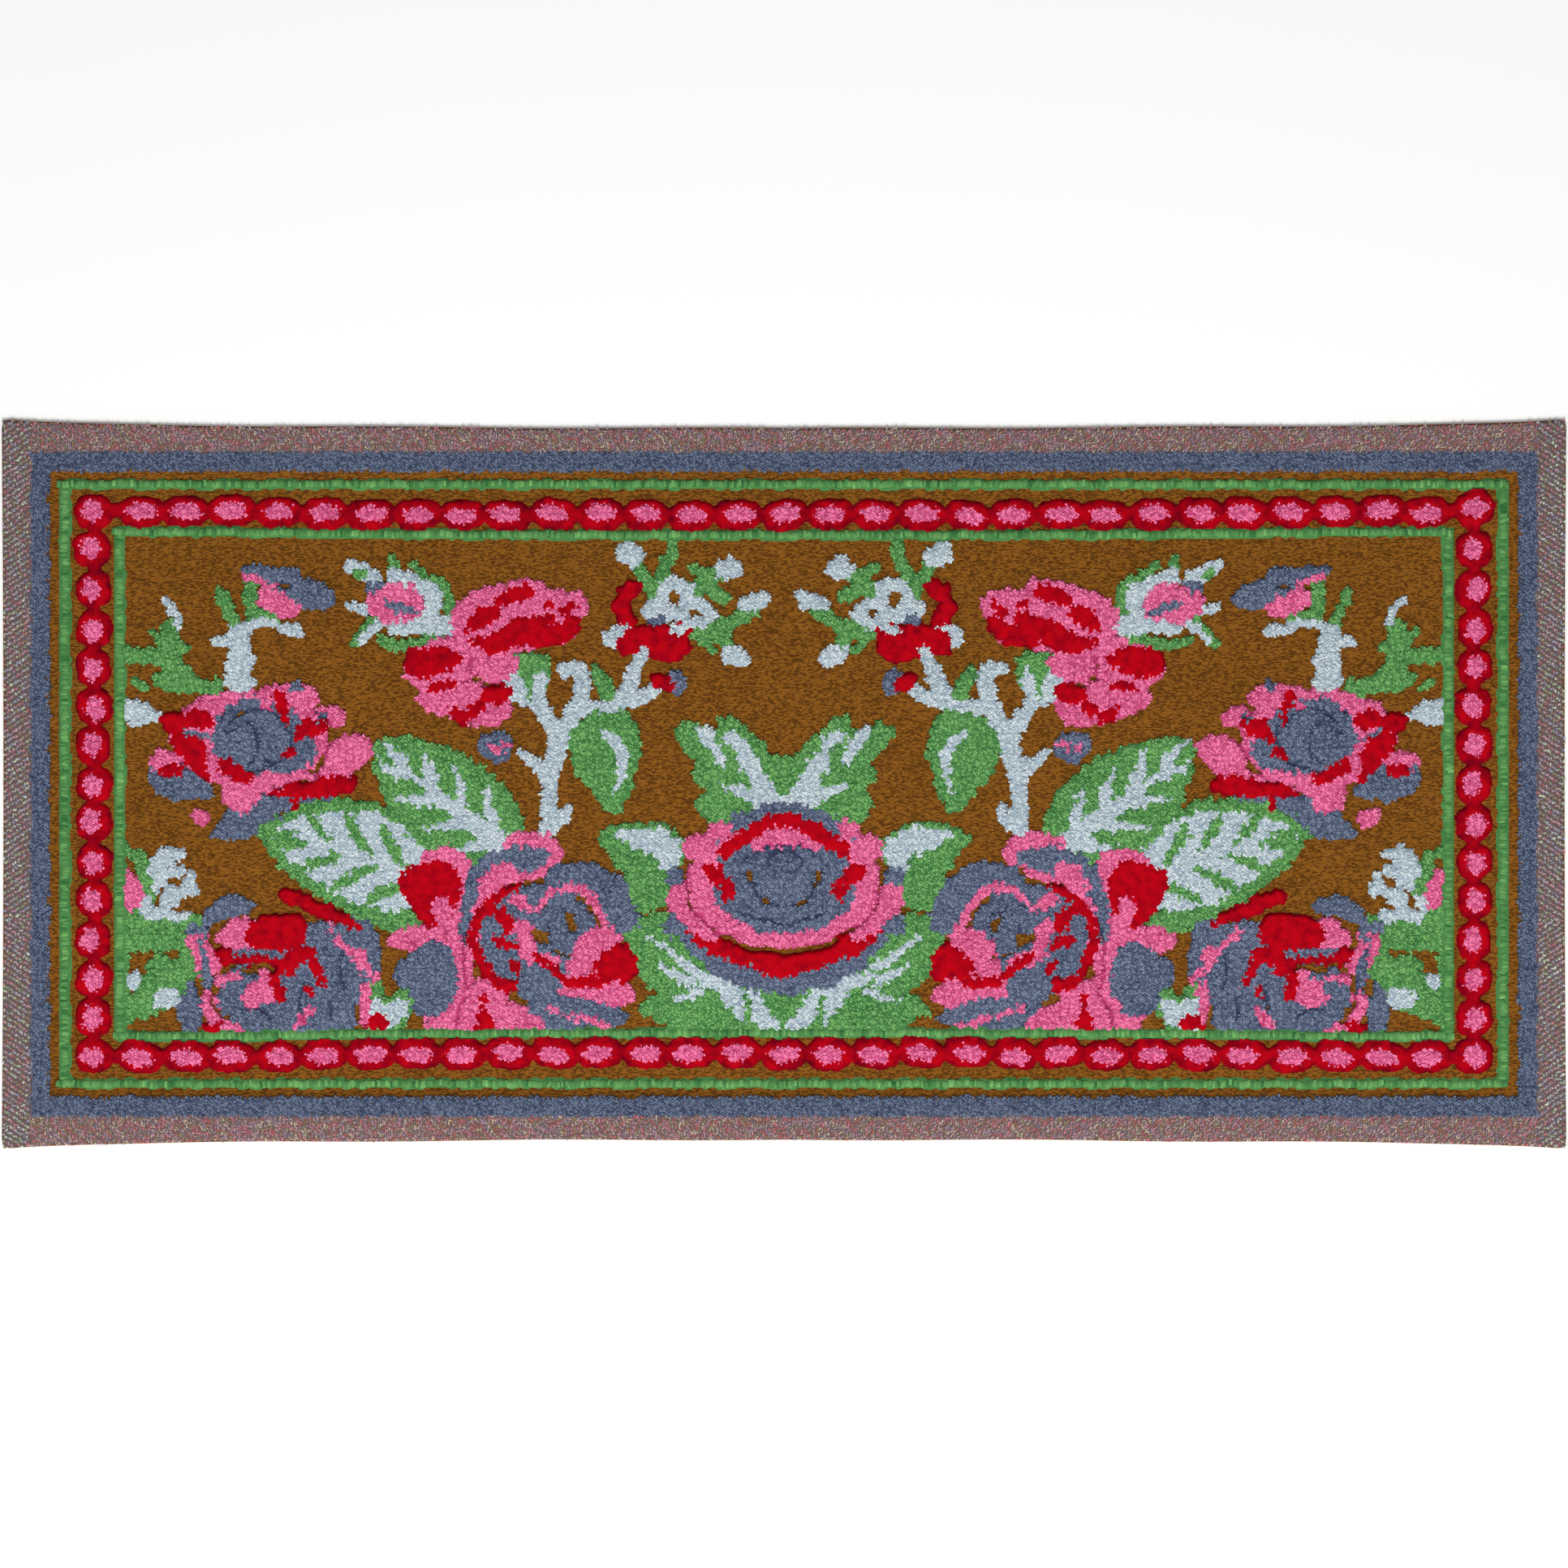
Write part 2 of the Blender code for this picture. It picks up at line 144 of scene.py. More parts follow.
CENTRE_LEAVES = [
    serrate(GREEN, 14, -18, 61, 66, 46), serrate(GREEN, 20, 0, 106, 57, 44),
    petal(GREEN, 20, 0, 87, 12, 32), petal(GREEN, 14, -18, 82, -22, 32), stem(GREEN, -20, 6, 32, 10, 40),
    flame(WHITE, 14, -28, 47, 46, 25, 0.05), oval(WHITE, 33, 40, 61, 46, 13),
    flame(WHITE, 80, 56, 54, 12, 15), blade(WHITE, 16, -15, 64, -2, 11), stem(WHITE, 44, 40, 41, 11, 5),
    oval(WHITE, -4, -15, 30, -17, 12), serrate(GREEN, 92, -66, 179, -50, 46),
    oval(GREEN, 104, -56, 162, -74, 42), petal(GREEN, 124, -56, 134, -121, 46),
    petal(WHITE, 162, -49, 104, -58, 25), flame(WHITE, 112, -52, 109, -92, 27),
    serrate(GREEN, 58, -194, 154, -134, 78), serrate(GREEN, 20, -214, 139, -214, 56),
    stem(GREEN, -20, -206, 92, -206, 72), flame(WHITE, 86, -179, 137, -141, 9),
    blade(WHITE, 84, -192, 122, -174, 9), blade(WHITE, 76, -198, 111, -208, 8),
    petal(WHITE, 91, -180, 42, -198, 17), flame(WHITE, 54, -188, 40, -229, 24),
    flame(WHITE, 16, -232, 36, -188, 16), stem(WHITE, 28, -221, 3, -235, 12),
]

CENTRE_ROSE = [
    Arc(SLATE, 0, -100, 84, 73, 28, 152, 17), Arc(SLATE, 0, -100, 104, 90, 200, 340, 22),
    Arc(RED, 0, -100, 103, 70, 207, 333, 20), oval(RED, -26, -173, 26, -173, 24),
    oval(SLATE, 96, -88, 114, -90, 18), oval(SLATE, 98, -122, 112, -146, 18),
    Arc(PINK, 0, -95, 103, 63, -54, -1, 26), oval(PINK, 72, -49, 52, -38, 20),
    oval(PINK, 96, -64, 66, -56, 22), stem(RED, -6, -32, 36, -45, 13), stem(RED, 28, -42, 63, -62, 10),
    oval(PINK, -94, -98, 94, -98, 116), oval(SLATE, -67, -102, 67, -102, 82),
    oval(SLATE, 0, -96, 0, -52, 40), oval(SLATE, 66, -74, 32, -62, 24),
    Arc(RED, 0, -92, 62, 52, 36, 80, 12), Arc(PINK, 0, -92, 38, 42, 62, 118, 18),
    oval(RED, 63, -70, 50, -58, 13), oval(RED, 73, -76, 61, -94, 15), oval(RED, 66, -88, 50, -100, 10),
    oval(RED, 57, -94, 52, -111, 11), oval(GROUND, 34, -82, 31, -97, 8),
    oval(GROUND, 19, -110, 15, -120, 8),
]
CENTRE_ROSE_CRACKS = [
    Arc(GROUND, 0, -99, 93, 58, -62, 14, 2.2), Arc(GROUND, 0, -99, 95, 62, 240, 300, 6.0),
    Arc(GROUND, 0, -92, 31, 24, 175, 365, 1.4), Arc(GROUND, 0, -74, 18, 10, 0, 360, 1.3),
    Arc(GROUND, 0, -66, 10, 8, 0, 360, 1.2), Arc(GROUND, 0, -100, 52, 34, 215, 325, 1.4),
    Arc(GROUND, 0, -88, 44, 30, 20, 75, 1.3),
]

FLANK_LEAVES = [
    petal(SLATE, 549, -50, 486, -22, 34), stem(SLATE, 512, -19, 430, -18, 13),
    oval(GREEN, 420, -118, 350, -134, 26), Leaf("bodied", 334, -98, 504, -44, 106, 0.03),
    Leaf("veined", 256, -64, 392, 42, 98, -0.03),
]

FLANK_ROSE = [
    stem(PINK, 344, -221, 222, -226, 28), petal(PINK, 320, -142, 330, -61, 58),
    petal(RED, 330, -142, 340, -74, 52), oval(RED, 368, -94, 336, -102, 32),
    petal(PINK, 327, -142, 328, -108, 20), oval(PINK, 378, -149, 318, -150, 26),
    stem(PINK, 308, -136, 312, -224, 24), stem(SLATE, 292, -78, 304, -112, 13),
    oval(SLATE, 336, -150, 340, -224, 50), oval(SLATE, 373, -176, 330, -190, 34),
    petal(PINK, 286, -238, 285, -188, 42), stem(RED, 288, -200, 288, -226, 4),
    petal(RED, 288, -220, 288, -238, 17), oval(PINK, 270, -60, 211, -68, 35),
    oval(SLATE, 292, -76, 225, -70, 27), Arc(SLATE, 245, -137, 60, 64, -14, 84, 15),
    Arc(PINK, 245, -140, 52, 54, -60, 84, 9), petal(PINK, 294, -104, 260, -78, 22),
    stem(PINK, 262, -92, 230, -84, 9), oval(SLATE, 292, -146, 182, -140, 92),
    oval(SLATE, 294, -163, 250, -163, 48), Arc(RED, 243, -148, 54, 50, -80, 78, 8),
    Arc(SLATE, 198, -138, 44, 48, 50, 188, 31), Arc(PINK, 206, -141, 34, 42, 25, 182, 8),
    oval(RED, 276, -117, 262, -142, 13), oval(RED, 292, -126, 276, -118, 6),
    oval(RED, 278, -146, 255, -158, 9), oval(RED, 280, -191, 252, -196, 11),
    oval(RED, 262, -170, 250, -186, 7), oval(PINK, 262, -110, 240, -118, 14),
    oval(PINK, 256, -130, 240, -160, 20), stem(PINK, 254, -162, 214, -174, 13),
    oval(PINK, 206, -178, 160, -140, 34), petal(RED, 184, -184, 143, -166, 36),
    oval(PINK, 222, -190, 143, -205, 34), stem(RED, 240, -163, 204, -190, 7),
    stem(RED, 208, -189, 166, -186, 8, 0.06), oval(SLATE, 258, -197, 214, -190, 27),
    blade(SLATE, 246, -211, 144, -226, 28), stem(SLATE, 232, -228, 196, -236, 9),
    stem(PINK, 228, -216, 166, -232, 6), oval(GROUND, 210, -122, 198, -144, 9),
    oval(GROUND, 242, -140, 222, -154, 12), oval(GROUND, 236, -116, 222, -117, 4),
    stem(GROUND, 226, -160, 200, -166, 4), stem(GROUND, 268, -208, 244, -213, 4),
]
FLANK_ROSE_CRACKS = [
    stem(GROUND, 302, -128, 304, -198, 1.8, 0.05), stem(GROUND, 303, -200, 318, -234, 1.8),
    stem(GROUND, 226, -134, 222, -154, 1.6, 0.1), stem(GROUND, 214, -116, 196, -124, 1.6, 0.1),
]

BRANCH = [
    stem(WHITE, 228, -58, 226, 10, 15, 0.02), stem(WHITE, 227, 2, 213, 50, 19),
    stem(WHITE, 216, 42, 248, 92, 15, 0.03), stem(WHITE, 213, 44, 197, 82, 17),
    stem(WHITE, 196, 70, 193, 112, 15), stem(WHITE, 190, 109, 208, 111, 12, 0.12),
    oval(WHITE, 216, 111, 200, 111, 14), stem(WHITE, 197, 70, 164, 70, 13, -0.12),
    stem(WHITE, 170, 66, 133, 134, 13, 0.05), petal(WHITE, 166, 70, 120, 93, 16),
    stem(WHITE, 228, 12, 256, 32, 9), stem(WHITE, 226, -50, 204, -20, 10),
    lobed(SLATE, 260, 37, 292, 35, 29), oval(PINK, 264, 38, 276, 34, 7), oval(PINK, 274, 32, 286, 38, 6),
    oval(SLATE, 106, 110, 102, 86, 17), oval(RED, 126, 102, 107, 94, 13),
    blade(GREEN, 165, 80, 183, 117, 17), Leaf("crescent", 172, 70, 158, -32, 70, 0.05),
    petal(GREEN, 240, 80, 248, 126, 44), petal(WHITE, 248, 74, 266, 112, 22),
    petal(WHITE, 240, 70, 232, 110, 13),
]

CARNATION = [
    lobed(PINK, 320, 154, 232, 180, 46), lobed(PINK, 254, 166, 188, 172, 34),
    petal(PINK, 246, 160, 246, 197, 32), stem(PINK, 300, 134, 200, 150, 26),
    lobed(PINK, 364, 108, 296, 122, 46), oval(PINK, 334, 130, 254, 112, 42),
    lobed(PINK, 350, 92, 286, 76, 42), lobed(PINK, 322, 76, 260, 76, 40),
    oval(RED, 290, 128, 222, 160, 23), oval(RED, 300, 136, 262, 134, 9), oval(RED, 244, 136, 196, 150, 16),
    oval(RED, 212, 146, 198, 160, 12), oval(RED, 276, 176, 240, 186, 14),
    oval(RED, 304, 148, 274, 170, 18), oval(RED, 214, 163, 199, 174, 10), oval(RED, 234, 170, 220, 173, 7),
    petal(RED, 308, 120, 364, 115, 30), oval(RED, 342, 92, 314, 96, 8), oval(RED, 290, 84, 261, 89, 20),
    oval(RED, 320, 70, 302, 62, 12), oval(RED, 303, 64, 286, 77, 10),
]
CARNATION_CRACKS = [
    stem(GROUND, 300, 124, 294, 96, 1.8, 0.08), stem(GROUND, 292, 92, 270, 98, 1.8),
    stem(GROUND, 312, 100, 290, 104, 1.6, 0.1),
]

OPEN_BUD = [
    stem(GREEN, 359, 213, 338, 194, 8), Arc(GREEN, 368, 172, 47, 35, 128, 206, 9),
    Arc(GREEN, 362, 166, 42, 33, 206, 312, 10), Arc(WHITE, 368, 173, 33, 22, 68, 296, 15),
    oval(WHITE, 352, 151, 313, 152, 18), stem(GREEN, 392, 162, 416, 133, 10, -0.06),
    stem(WHITE, 386, 160, 408, 136, 8, -0.06), stem(WHITE, 386, 192, 420, 214, 15),
    oval(GREEN, 400, 200, 413, 204, 9), stem(GREEN, 372, 206, 376, 221, 10),
    stem(WHITE, 372, 192, 374, 208, 13), stem(WHITE, 378, 160, 420, 173, 9),
    lobed(PINK, 400, 172, 345, 174, 38), oval(SLATE, 382, 174, 351, 164, 10),
    stem(SLATE, 402, 185, 384, 190, 9),
]

HOOKED_BUD = [
    stem(GREEN, 509, 152, 513, 197, 13), petal(GREEN, 518, 158, 484, 159, 13),
    stem(GREEN, 526, 150, 543, 187, 10, 0.03), lobed(SLATE, 521, 207, 430, 176, 22),
    oval(SLATE, 492, 203, 462, 200, 13), blade(SLATE, 476, 184, 426, 176, 26),
    stem(PINK, 519, 201, 490, 188, 7), lobed(PINK, 504, 180, 463, 166, 22),
    stem(WHITE, 522, 90, 523, 150, 23), stem(WHITE, 533, 145, 466, 144, 9, -0.14),
    oval(WHITE, 474, 152, 460, 141, 10), oval(WHITE, 548, 137, 528, 136, 8),
    oval(WHITE, 518, 115, 506, 119, 12), oval(WHITE, 537, 98, 506, 98, 12),
]
HOOKED_BUD_CRACKS = [oval(GROUND, 487, 191, 472, 189, 5)]

THORN_BRANCH = [
    stem(GREEN, 637, 125, 588, 121, 15), stem(GREEN, 588, 156, 588, 96, 19),
    oval(GREEN, 598, 152, 576, 152, 12), stem(GREEN, 606, 101, 538, 92, 13, 0.04),
    flame(GREEN, 584, 104, 556, 96, 22), stem(GREEN, 627, 102, 608, 92, 7),
    blade(GREEN, 586, 132, 568, 131, 11), blade(GREEN, 594, 134, 608, 149, 9),
    stem(GREEN, 546, 90, 544, 104, 6), stem(GREEN, 557, 92, 557, 103, 6),
    stem(WHITE, 581, 150, 594, 180, 8, 0.12), flame(WHITE, 639, 73, 592, 63, 24),
]

SIDE_ROSE = [
    petal(SLATE, 546, -9, 609, 9, 34), oval(PINK, 610, 20, 578, 25, 19), oval(RED, 598, 12, 577, 15, 11),
    oval(PINK, 588, 46, 438, 44, 92), lobed(PINK, 506, 82, 445, 84, 28), oval(PINK, 454, 64, 420, 65, 20),
    petal(PINK, 504, 12, 532, -23, 36), oval(PINK, 520, 0, 454, 6, 24), lobed(PINK, 442, 20, 396, 40, 33),
    oval(PINK, 456, 0, 414, 16, 22), oval(RED, 597, 60, 572, 57, 19), flame(RED, 578, 50, 551, 3, 26),
    oval(RED, 575, 62, 547, 61, 18), stem(PINK, 574, 56, 552, 48, 5), stem(SLATE, 575, 51, 552, 44, 6),
    lobed(SLATE, 549, 46, 462, 46, 72), oval(SLATE, 500, 40, 447, 36, 52),
    oval(SLATE, 522, 82, 504, 72, 14), oval(RED, 543, 20, 508, 3, 14), stem(RED, 487, 89, 477, 68, 10),
    stem(RED, 480, 70, 478, 58, 4), oval(PINK, 500, 78, 492, 70, 9), oval(RED, 468, 50, 439, 57, 14),
    stem(RED, 458, 62, 467, 40, 7), oval(SLATE, 452, 64, 437, 63, 9), oval(SLATE, 474, 96, 461, 90, 9),
    oval(RED, 484, 28, 468, 30, 6), petal(RED, 492, -9, 409, 1, 18), stem(RED, 469, -8, 468, -25, 6),
    oval(PINK, 569, -27, 551, -38, 17), stem(GROUND, 494, -2, 452, 3, 4),
]
SIDE_ROSE_CRACKS = [
    Arc(GROUND, 506, 44, 30, 28, 20, 165, 1.6), Arc(GROUND, 520, 40, 16, 22, 90, 250, 1.4),
    Arc(GROUND, 490, 46, 18, 26, 150, 300, 1.4), Arc(GROUND, 512, 28, 26, 16, 200, 330, 1.6),
    Arc(GROUND, 532, 60, 9, 10, 0, 300, 1.3), stem(GROUND, 448, 2, 430, 42, 2, -0.14),
    stem(GROUND, 450, 70, 428, 50, 1.6),
]

CORNER_LEAVES = [
    stem(GREEN, 642, -144, 572, -142, 33), stem(GREEN, 642, -128, 610, -130, 20),
    oval(GREEN, 584, -134, 556, -133, 14), stem(GREEN, 572, -146, 568, -188, 18),
    serrate(GREEN, 560, -168, 634, -226, 42), stem(GREEN, 590, -166, 612, -176, 8, 0.1),
    stem(GREEN, 636, -150, 637, -236, 16), stem(GREEN, 620, -63, 606, -112, 12),
    oval(GREEN, 636, -61, 623, -67, 9), petal(PINK, 629, -81, 624, -121, 23),
    oval(WHITE, 606, -207, 577, -204, 21), oval(WHITE, 616, -180, 630, -196, 11),
]

# Berries: single white dots, at x and y
BERRY_SIZE = 11.0
BERRIES = [
    (599, -67), (590, -64), (580, -66), (592, -73), (602, -74), (605, -84), (595, -83), (585, -84),
    (577, -82), (600, -91), (594, -92), (601, -99), (568, -91), (572, -98), (566, -102), (578, -104),
    (588, -103), (584, -111), (593, -109), (592, -119), (588, -125), (596, -124), (610, -112), (612, -121),
    (608, -127), (602, -127), (580, -127), (574, -126),
]

CORNER_ROSE = [
    Leaf("patched", 400, -238, 348, -196, 32), oval(GREEN, 402, -196, 384, -200, 16),
    oval(WHITE, 404, -214, 378, -216, 17), oval(SLATE, 560, -134, 505, -116, 20, -0.12),
    petal(SLATE, 566, -188, 568, -238, 22, 0.06), stem(PINK, 568, -144, 552, -186, 15),
    oval(PINK, 572, -152, 550, -144, 15), oval(SLATE, 542, -204, 470, -204, 66),
    oval(SLATE, 500, -196, 406, -186, 94), oval(SLATE, 462, -150, 426, -156, 42),
    oval(SLATE, 574, -138, 552, -141, 9), stem(SLATE, 500, -222, 412, -222, 30),
    stem(SLATE, 556, -146, 552, -200, 10), stem(PINK, 556, -152, 544, -182, 9, -0.1),
    stem(PINK, 552, -198, 546, -230, 14), oval(RED, 557, -232, 540, -234, 9),
    stem(PINK, 542, -232, 520, -234, 8), oval(PINK, 544, -148, 496, -148, 24),
    petal(PINK, 520, -146, 520, -129, 24), stem(PINK, 512, -150, 478, -156, 8),
    petal(SLATE, 440, -166, 390, -148, 52), oval(SLATE, 422, -170, 388, -180, 34),
    stem(PINK, 438, -138, 390, -190, 8), oval(PINK, 422, -158, 400, -164, 12),
    oval(RED, 517, -143, 456, -143, 34), petal(RED, 480, -160, 478, -125, 42),
    stem(SLATE, 532, -162, 474, -162, 9), oval(RED, 543, -158, 531, -174, 12),
    stem(RED, 536, -168, 470, -170, 7), oval(RED, 484, -172, 450, -160, 18),
    stem(RED, 456, -162, 444, -184, 8), stem(RED, 486, -170, 484, -208, 9, 0.04),
    oval(RED, 480, -176, 468, -182, 8), oval(GROUND, 522, -178, 484, -178, 9),
    stem(PINK, 544, -190, 520, -183, 8), lobed(PINK, 521, -201, 489, -201, 28),
    stem(PINK, 498, -200, 497, -180, 13), oval(RED, 458, -194, 454, -203, 6),
    oval(RED, 447, -184, 440, -192, 6), blade(PINK, 470, -234, 448, -212, 10),
    stem(PINK, 401, -190, 402, -232, 11), petal(RED, 402, -234, 380, -227, 14),
    petal(RED, 406, -137, 484, -103, 13),
]
CORNER_ROSE_CRACKS = [
    stem(GROUND, 518, -216, 492, -228, 1.6, -0.2), stem(GROUND, 460, -192, 458, -232, 1.6, 0.1),
    stem(GROUND, 422, -196, 423, -160, 1.8, -0.05), stem(GROUND, 434, -228, 433, -206, 1.6),
    stem(GROUND, 565, -186, 562, -206, 3.5), stem(GROUND, 548, -186, 540, -222, 2.6, 0.12),
]

BLOSSOM = [
    stem(GREEN, 124, 180, 143, 216, 12), stem(GREEN, 122, 190, 106, 238, 11, 0.04),
    stem(GREEN, 88, 184, 56, 206, 14), blade(GREEN, 66, 196, 92, 210, 13),
    blade(GREEN, 74, 190, 50, 174, 13), stem(GREEN, 94, 146, 48, 150, 17),
    stem(GREEN, 58, 150, 26, 170, 13), stem(GREEN, 62, 150, 48, 120, 12), stem(GREEN, 84, 146, 66, 126, 9),
    oval(WHITE, 161, 224, 134, 216, 20), oval(WHITE, 68, 206, 38, 208, 20),
    oval(WHITE, 44, 170, 12, 180, 18), oval(WHITE, 60, 128, 34, 116, 19),
    oval(WHITE, 172, 138, 146, 146, 21), Arc(RED, 141, 171, 15, 17, -82, 104, 16),
    oval(RED, 160, 126, 130, 150, 19), oval(RED, 138, 134, 90, 134, 32), petal(RED, 110, 136, 92, 152, 20),
    Arc(WHITE, 105, 179, 13, 14, 0, 360, 12), Arc(WHITE, 85, 163, 13, 10, 0, 360, 12),
    oval(WHITE, 136, 172, 108, 158, 20), oval(WHITE, 112, 148, 92, 148, 12),
    oval(SLATE, 130, 154, 114, 158, 11), oval(GROUND, 104, 186, 104, 172, 9),
    oval(GROUND, 90, 164, 80, 164, 6),
]

# From the lowest to the highest, where motifs overlap
MOTIFS = [
    Motif(CORNER_LEAVES, LEAF_TOP), Motif(THORN_BRANCH, STEM_TOP), Motif(HOOKED_BUD, STEM_TOP),
    Motif(OPEN_BUD, STEM_TOP), Motif(CENTRE_LEAVES, LEAF_TOP), Motif(FLANK_LEAVES, LEAF_TOP),
    Motif(CORNER_ROSE, PETAL_TOP), Motif(BLOSSOM, STEM_TOP), Motif(SIDE_ROSE, PETAL_TOP),
    Motif(BRANCH, STEM_TOP), Motif(CARNATION, PETAL_TOP), Motif(FLANK_ROSE, PETAL_TOP),
    Motif(CENTRE_ROSE, HEART_TOP),
]
CRACKS = [
    *CENTRE_ROSE_CRACKS, *FLANK_ROSE_CRACKS, *CARNATION_CRACKS, *HOOKED_BUD_CRACKS, *SIDE_ROSE_CRACKS,
    *CORNER_ROSE_CRACKS,
]

# Teeth of leaves and lobes of petals: depth, and distance from one to the next
TOOTH = 6.0
TOOTH_PITCH = 12.5
LOBE = 3.0
LOBE_PITCH = 12.0

# Veins of leaves: width, number of pairs, and shares of the leaf's length. VEIN_REACH is one of its width.
VEIN = 10.0
VEIN_PAIRS = 4
VEIN_START = 0.14
VEIN_SPAN = 0.60
VEIN_STAGGER = 0.15
VEIN_SLANT = 0.22
VEIN_REACH = 0.78

# Steps in the edges of red arcs broader than STEP_FROM
STEP = 5.0
STEP_PITCH = 11.0
STEP_FROM = 12.0

# Map of the pattern: distance between its points, its half sizes, and a depth that is surely outside a patch
MAP_STEP = 0.8
MAP_HALF_X = 756.0
MAP_HALF_Y = 354.4
WARP_MARGIN = 8.0
OUTSIDE = -9.0

# How far the map's heights, pile, red and cracks are softened, in mm
TOP_BLUR = 1.6
PILE_BLUR = 1.8
RED_BLUR = 0.9
CRACK_BLUR = 0.8
CRACK_GAIN = 2.2


# Settings that a user would change


def linear(code):
    """Red, green and blue of an sRGB hex colour, as linear values."""
    parts = [int(code[i:i + 2], 16) / 255 for i in (0, 2, 4)]
    return tuple(p / 12.92 if p <= 0.04045 else ((p + 0.055) / 1.055) ** 2.4 for p in parts)


def length_setting(name, description, default):
    """A property that holds a length in metres."""
    return bpy.props.FloatProperty(
        name=name, description=description, default=default, unit="LENGTH", precision=5
    )


def colour_setting(name, description, code):
    """A property that holds a colour, given as sRGB hex."""
    return bpy.props.FloatVectorProperty(
        name=name, description=description, default=linear(code), subtype="COLOR", min=0, max=1
    )


def number_setting(name, description, default):
    """A property that holds a plain number."""
    return bpy.props.FloatProperty(name=name, description=description, default=default)


class RugSizes(bpy.types.PropertyGroup):
    """Sizes of the yarn."""

    loop_pitch: length_setting("Loop pitch", "Distance between neighbouring loops", 2.7 * MM)
    loop_length: length_setting("Loop length", "Length of one loop, seen from above", 4.1 * MM)
    loop_width: length_setting("Loop width", "Width of one loop, seen from above", 3.2 * MM)
    loop_rise: length_setting("Loop rise", "How far a loop's back stands above its sides", 1.9 * MM)
    line_pitch: length_setting("Line pitch", "Distance from one loop of a green line to the next", 2.4 * MM)
    line_length: length_setting("Line loop length", "Length of one loop of a green line", 11.4 * MM)
    line_width: length_setting("Line loop width", "Width of one loop of a green line", 3.3 * MM)
    cut_pile_grid: length_setting("Cut pile grid", "Spacing of the cut pile's surface points", 1.6 * MM)
    strand_length: length_setting("Strand length", "Length of one strand of the mixed band", 5.6 * MM)
    strand_width: length_setting("Strand width", "Width of one strand of the mixed band", 1.8 * MM)


class RugColours(bpy.types.PropertyGroup):
    """Colours of the yarn, each as its shaded roots and its lit backs."""

    ground: colour_setting("Ground", "Flat woven ground", "533006")
    ground_fleck: colour_setting("Ground fleck", "Lighter threads of the ground", "835216")
    green: colour_setting("Green", "Backs of the green loops", "76af65")
    green_root: colour_setting("Green roots", "Roots of the green loops", "306936")
    white: colour_setting("White", "Backs of the white loops", "cfd9db")
    white_root: colour_setting("White roots", "Roots of the white loops", "8b9dab")
    pink: colour_setting("Pink", "Backs of the pink loops", "f180ad")
    pink_root: colour_setting("Pink roots", "Roots of the pink loops", "ae3666")
    slate: colour_setting("Slate", "Backs of the slate loops", "768299")
    slate_root: colour_setting("Slate roots", "Roots of the slate loops", "353f58")
    band_slate: colour_setting("Slate band", "Backs of the border's slate loops", "6a768e")
    band_slate_root: colour_setting("Slate band roots", "Roots of the border's slate loops", "323c54")
    red: colour_setting("Red", "Tips of the red cut pile", "b00313")
    # Painted shade: the cut pile's rims and the gaps between its tips are drawn towards this darker red
    red_root: colour_setting("Red roots", "Deeper red between the tips", "570012")


class RugStage(bpy.types.PropertyGroup):
    """Camera and light."""

    camera_height: length_setting("Camera height", "Height of the camera above the floor", 4.18)
    lens: number_setting("Lens", "Focal length in millimetres", 100.0)
    key_power: number_setting("Key light", "Power of the key light in watts", 250.0)
    sky: number_setting("Room light", "Strength of the light from all round", 0.46)


# Pattern


def leaf_patches(leaf):
    """The patches that a leaf is made of: its body, and its white or green veins."""
    root = np.array([leaf.root_x, leaf.root_y], float)
    tip = np.array([leaf.tip_x, leaf.tip_y], float)
    along = tip - root
    side = np.array([-along[1], along[0]])

    def on(share, out=0.0):
        spot = root + along * share + side * (4 * leaf.bend * share * (1 - share))
        return spot + side / np.hypot(*side) * (out * leaf.width / 2)

    form = pointed if leaf.style == "crescent" else serrate
    body = form(GREEN, *root, *tip, leaf.width, leaf.bend)
    if leaf.style == "crescent":
        return [body, blade(WHITE, *on(0.14, 0.1), *on(0.80, 0.05), 12, -0.24)]
    if leaf.style == "patched":
        return [body, petal(WHITE, *on(0.04, 0.1), *on(0.72, 0.15), leaf.width * 0.62)]
    bodied = leaf.style == "bodied"
    if bodied:
        made = [body, blade(WHITE, *on(-0.02), *on(0.95), leaf.width * 0.82, leaf.bend)]
    else:
        made = [body, flame(WHITE, *on(-0.02), *on(0.90), VEIN * 1.9, leaf.bend)]
    for pair in range(VEIN_PAIRS):
        for way in (-1, 1):
            share = VEIN_START + VEIN_SPAN * (pair + VEIN_STAGGER * way) / (VEIN_PAIRS - 1)
            reach = VEIN_REACH * half_width(share + VEIN_SLANT, "serrate")
            outer = on(share + VEIN_SLANT, way * reach)
            if bodied:
                made.append(blade(GREEN, *outer, *on(share, 0.06 * way), VEIN, 0.05 * way))
            else:
                made.append(flame(WHITE, *on(share, 0.02 * way), *outer, VEIN * 1.25, 0.05 * way))
    return made


def half_width(share, form):
    """Half width of a form at each share of its length, as a share of its widest place."""
    low, high = FORM_POWERS[form]
    peak = low / (low + high)
    inside = np.clip(share, 1e-4, 1 - 1e-4)
    return inside**low * (1 - inside) ** high / (peak**low * (1 - peak) ** high)


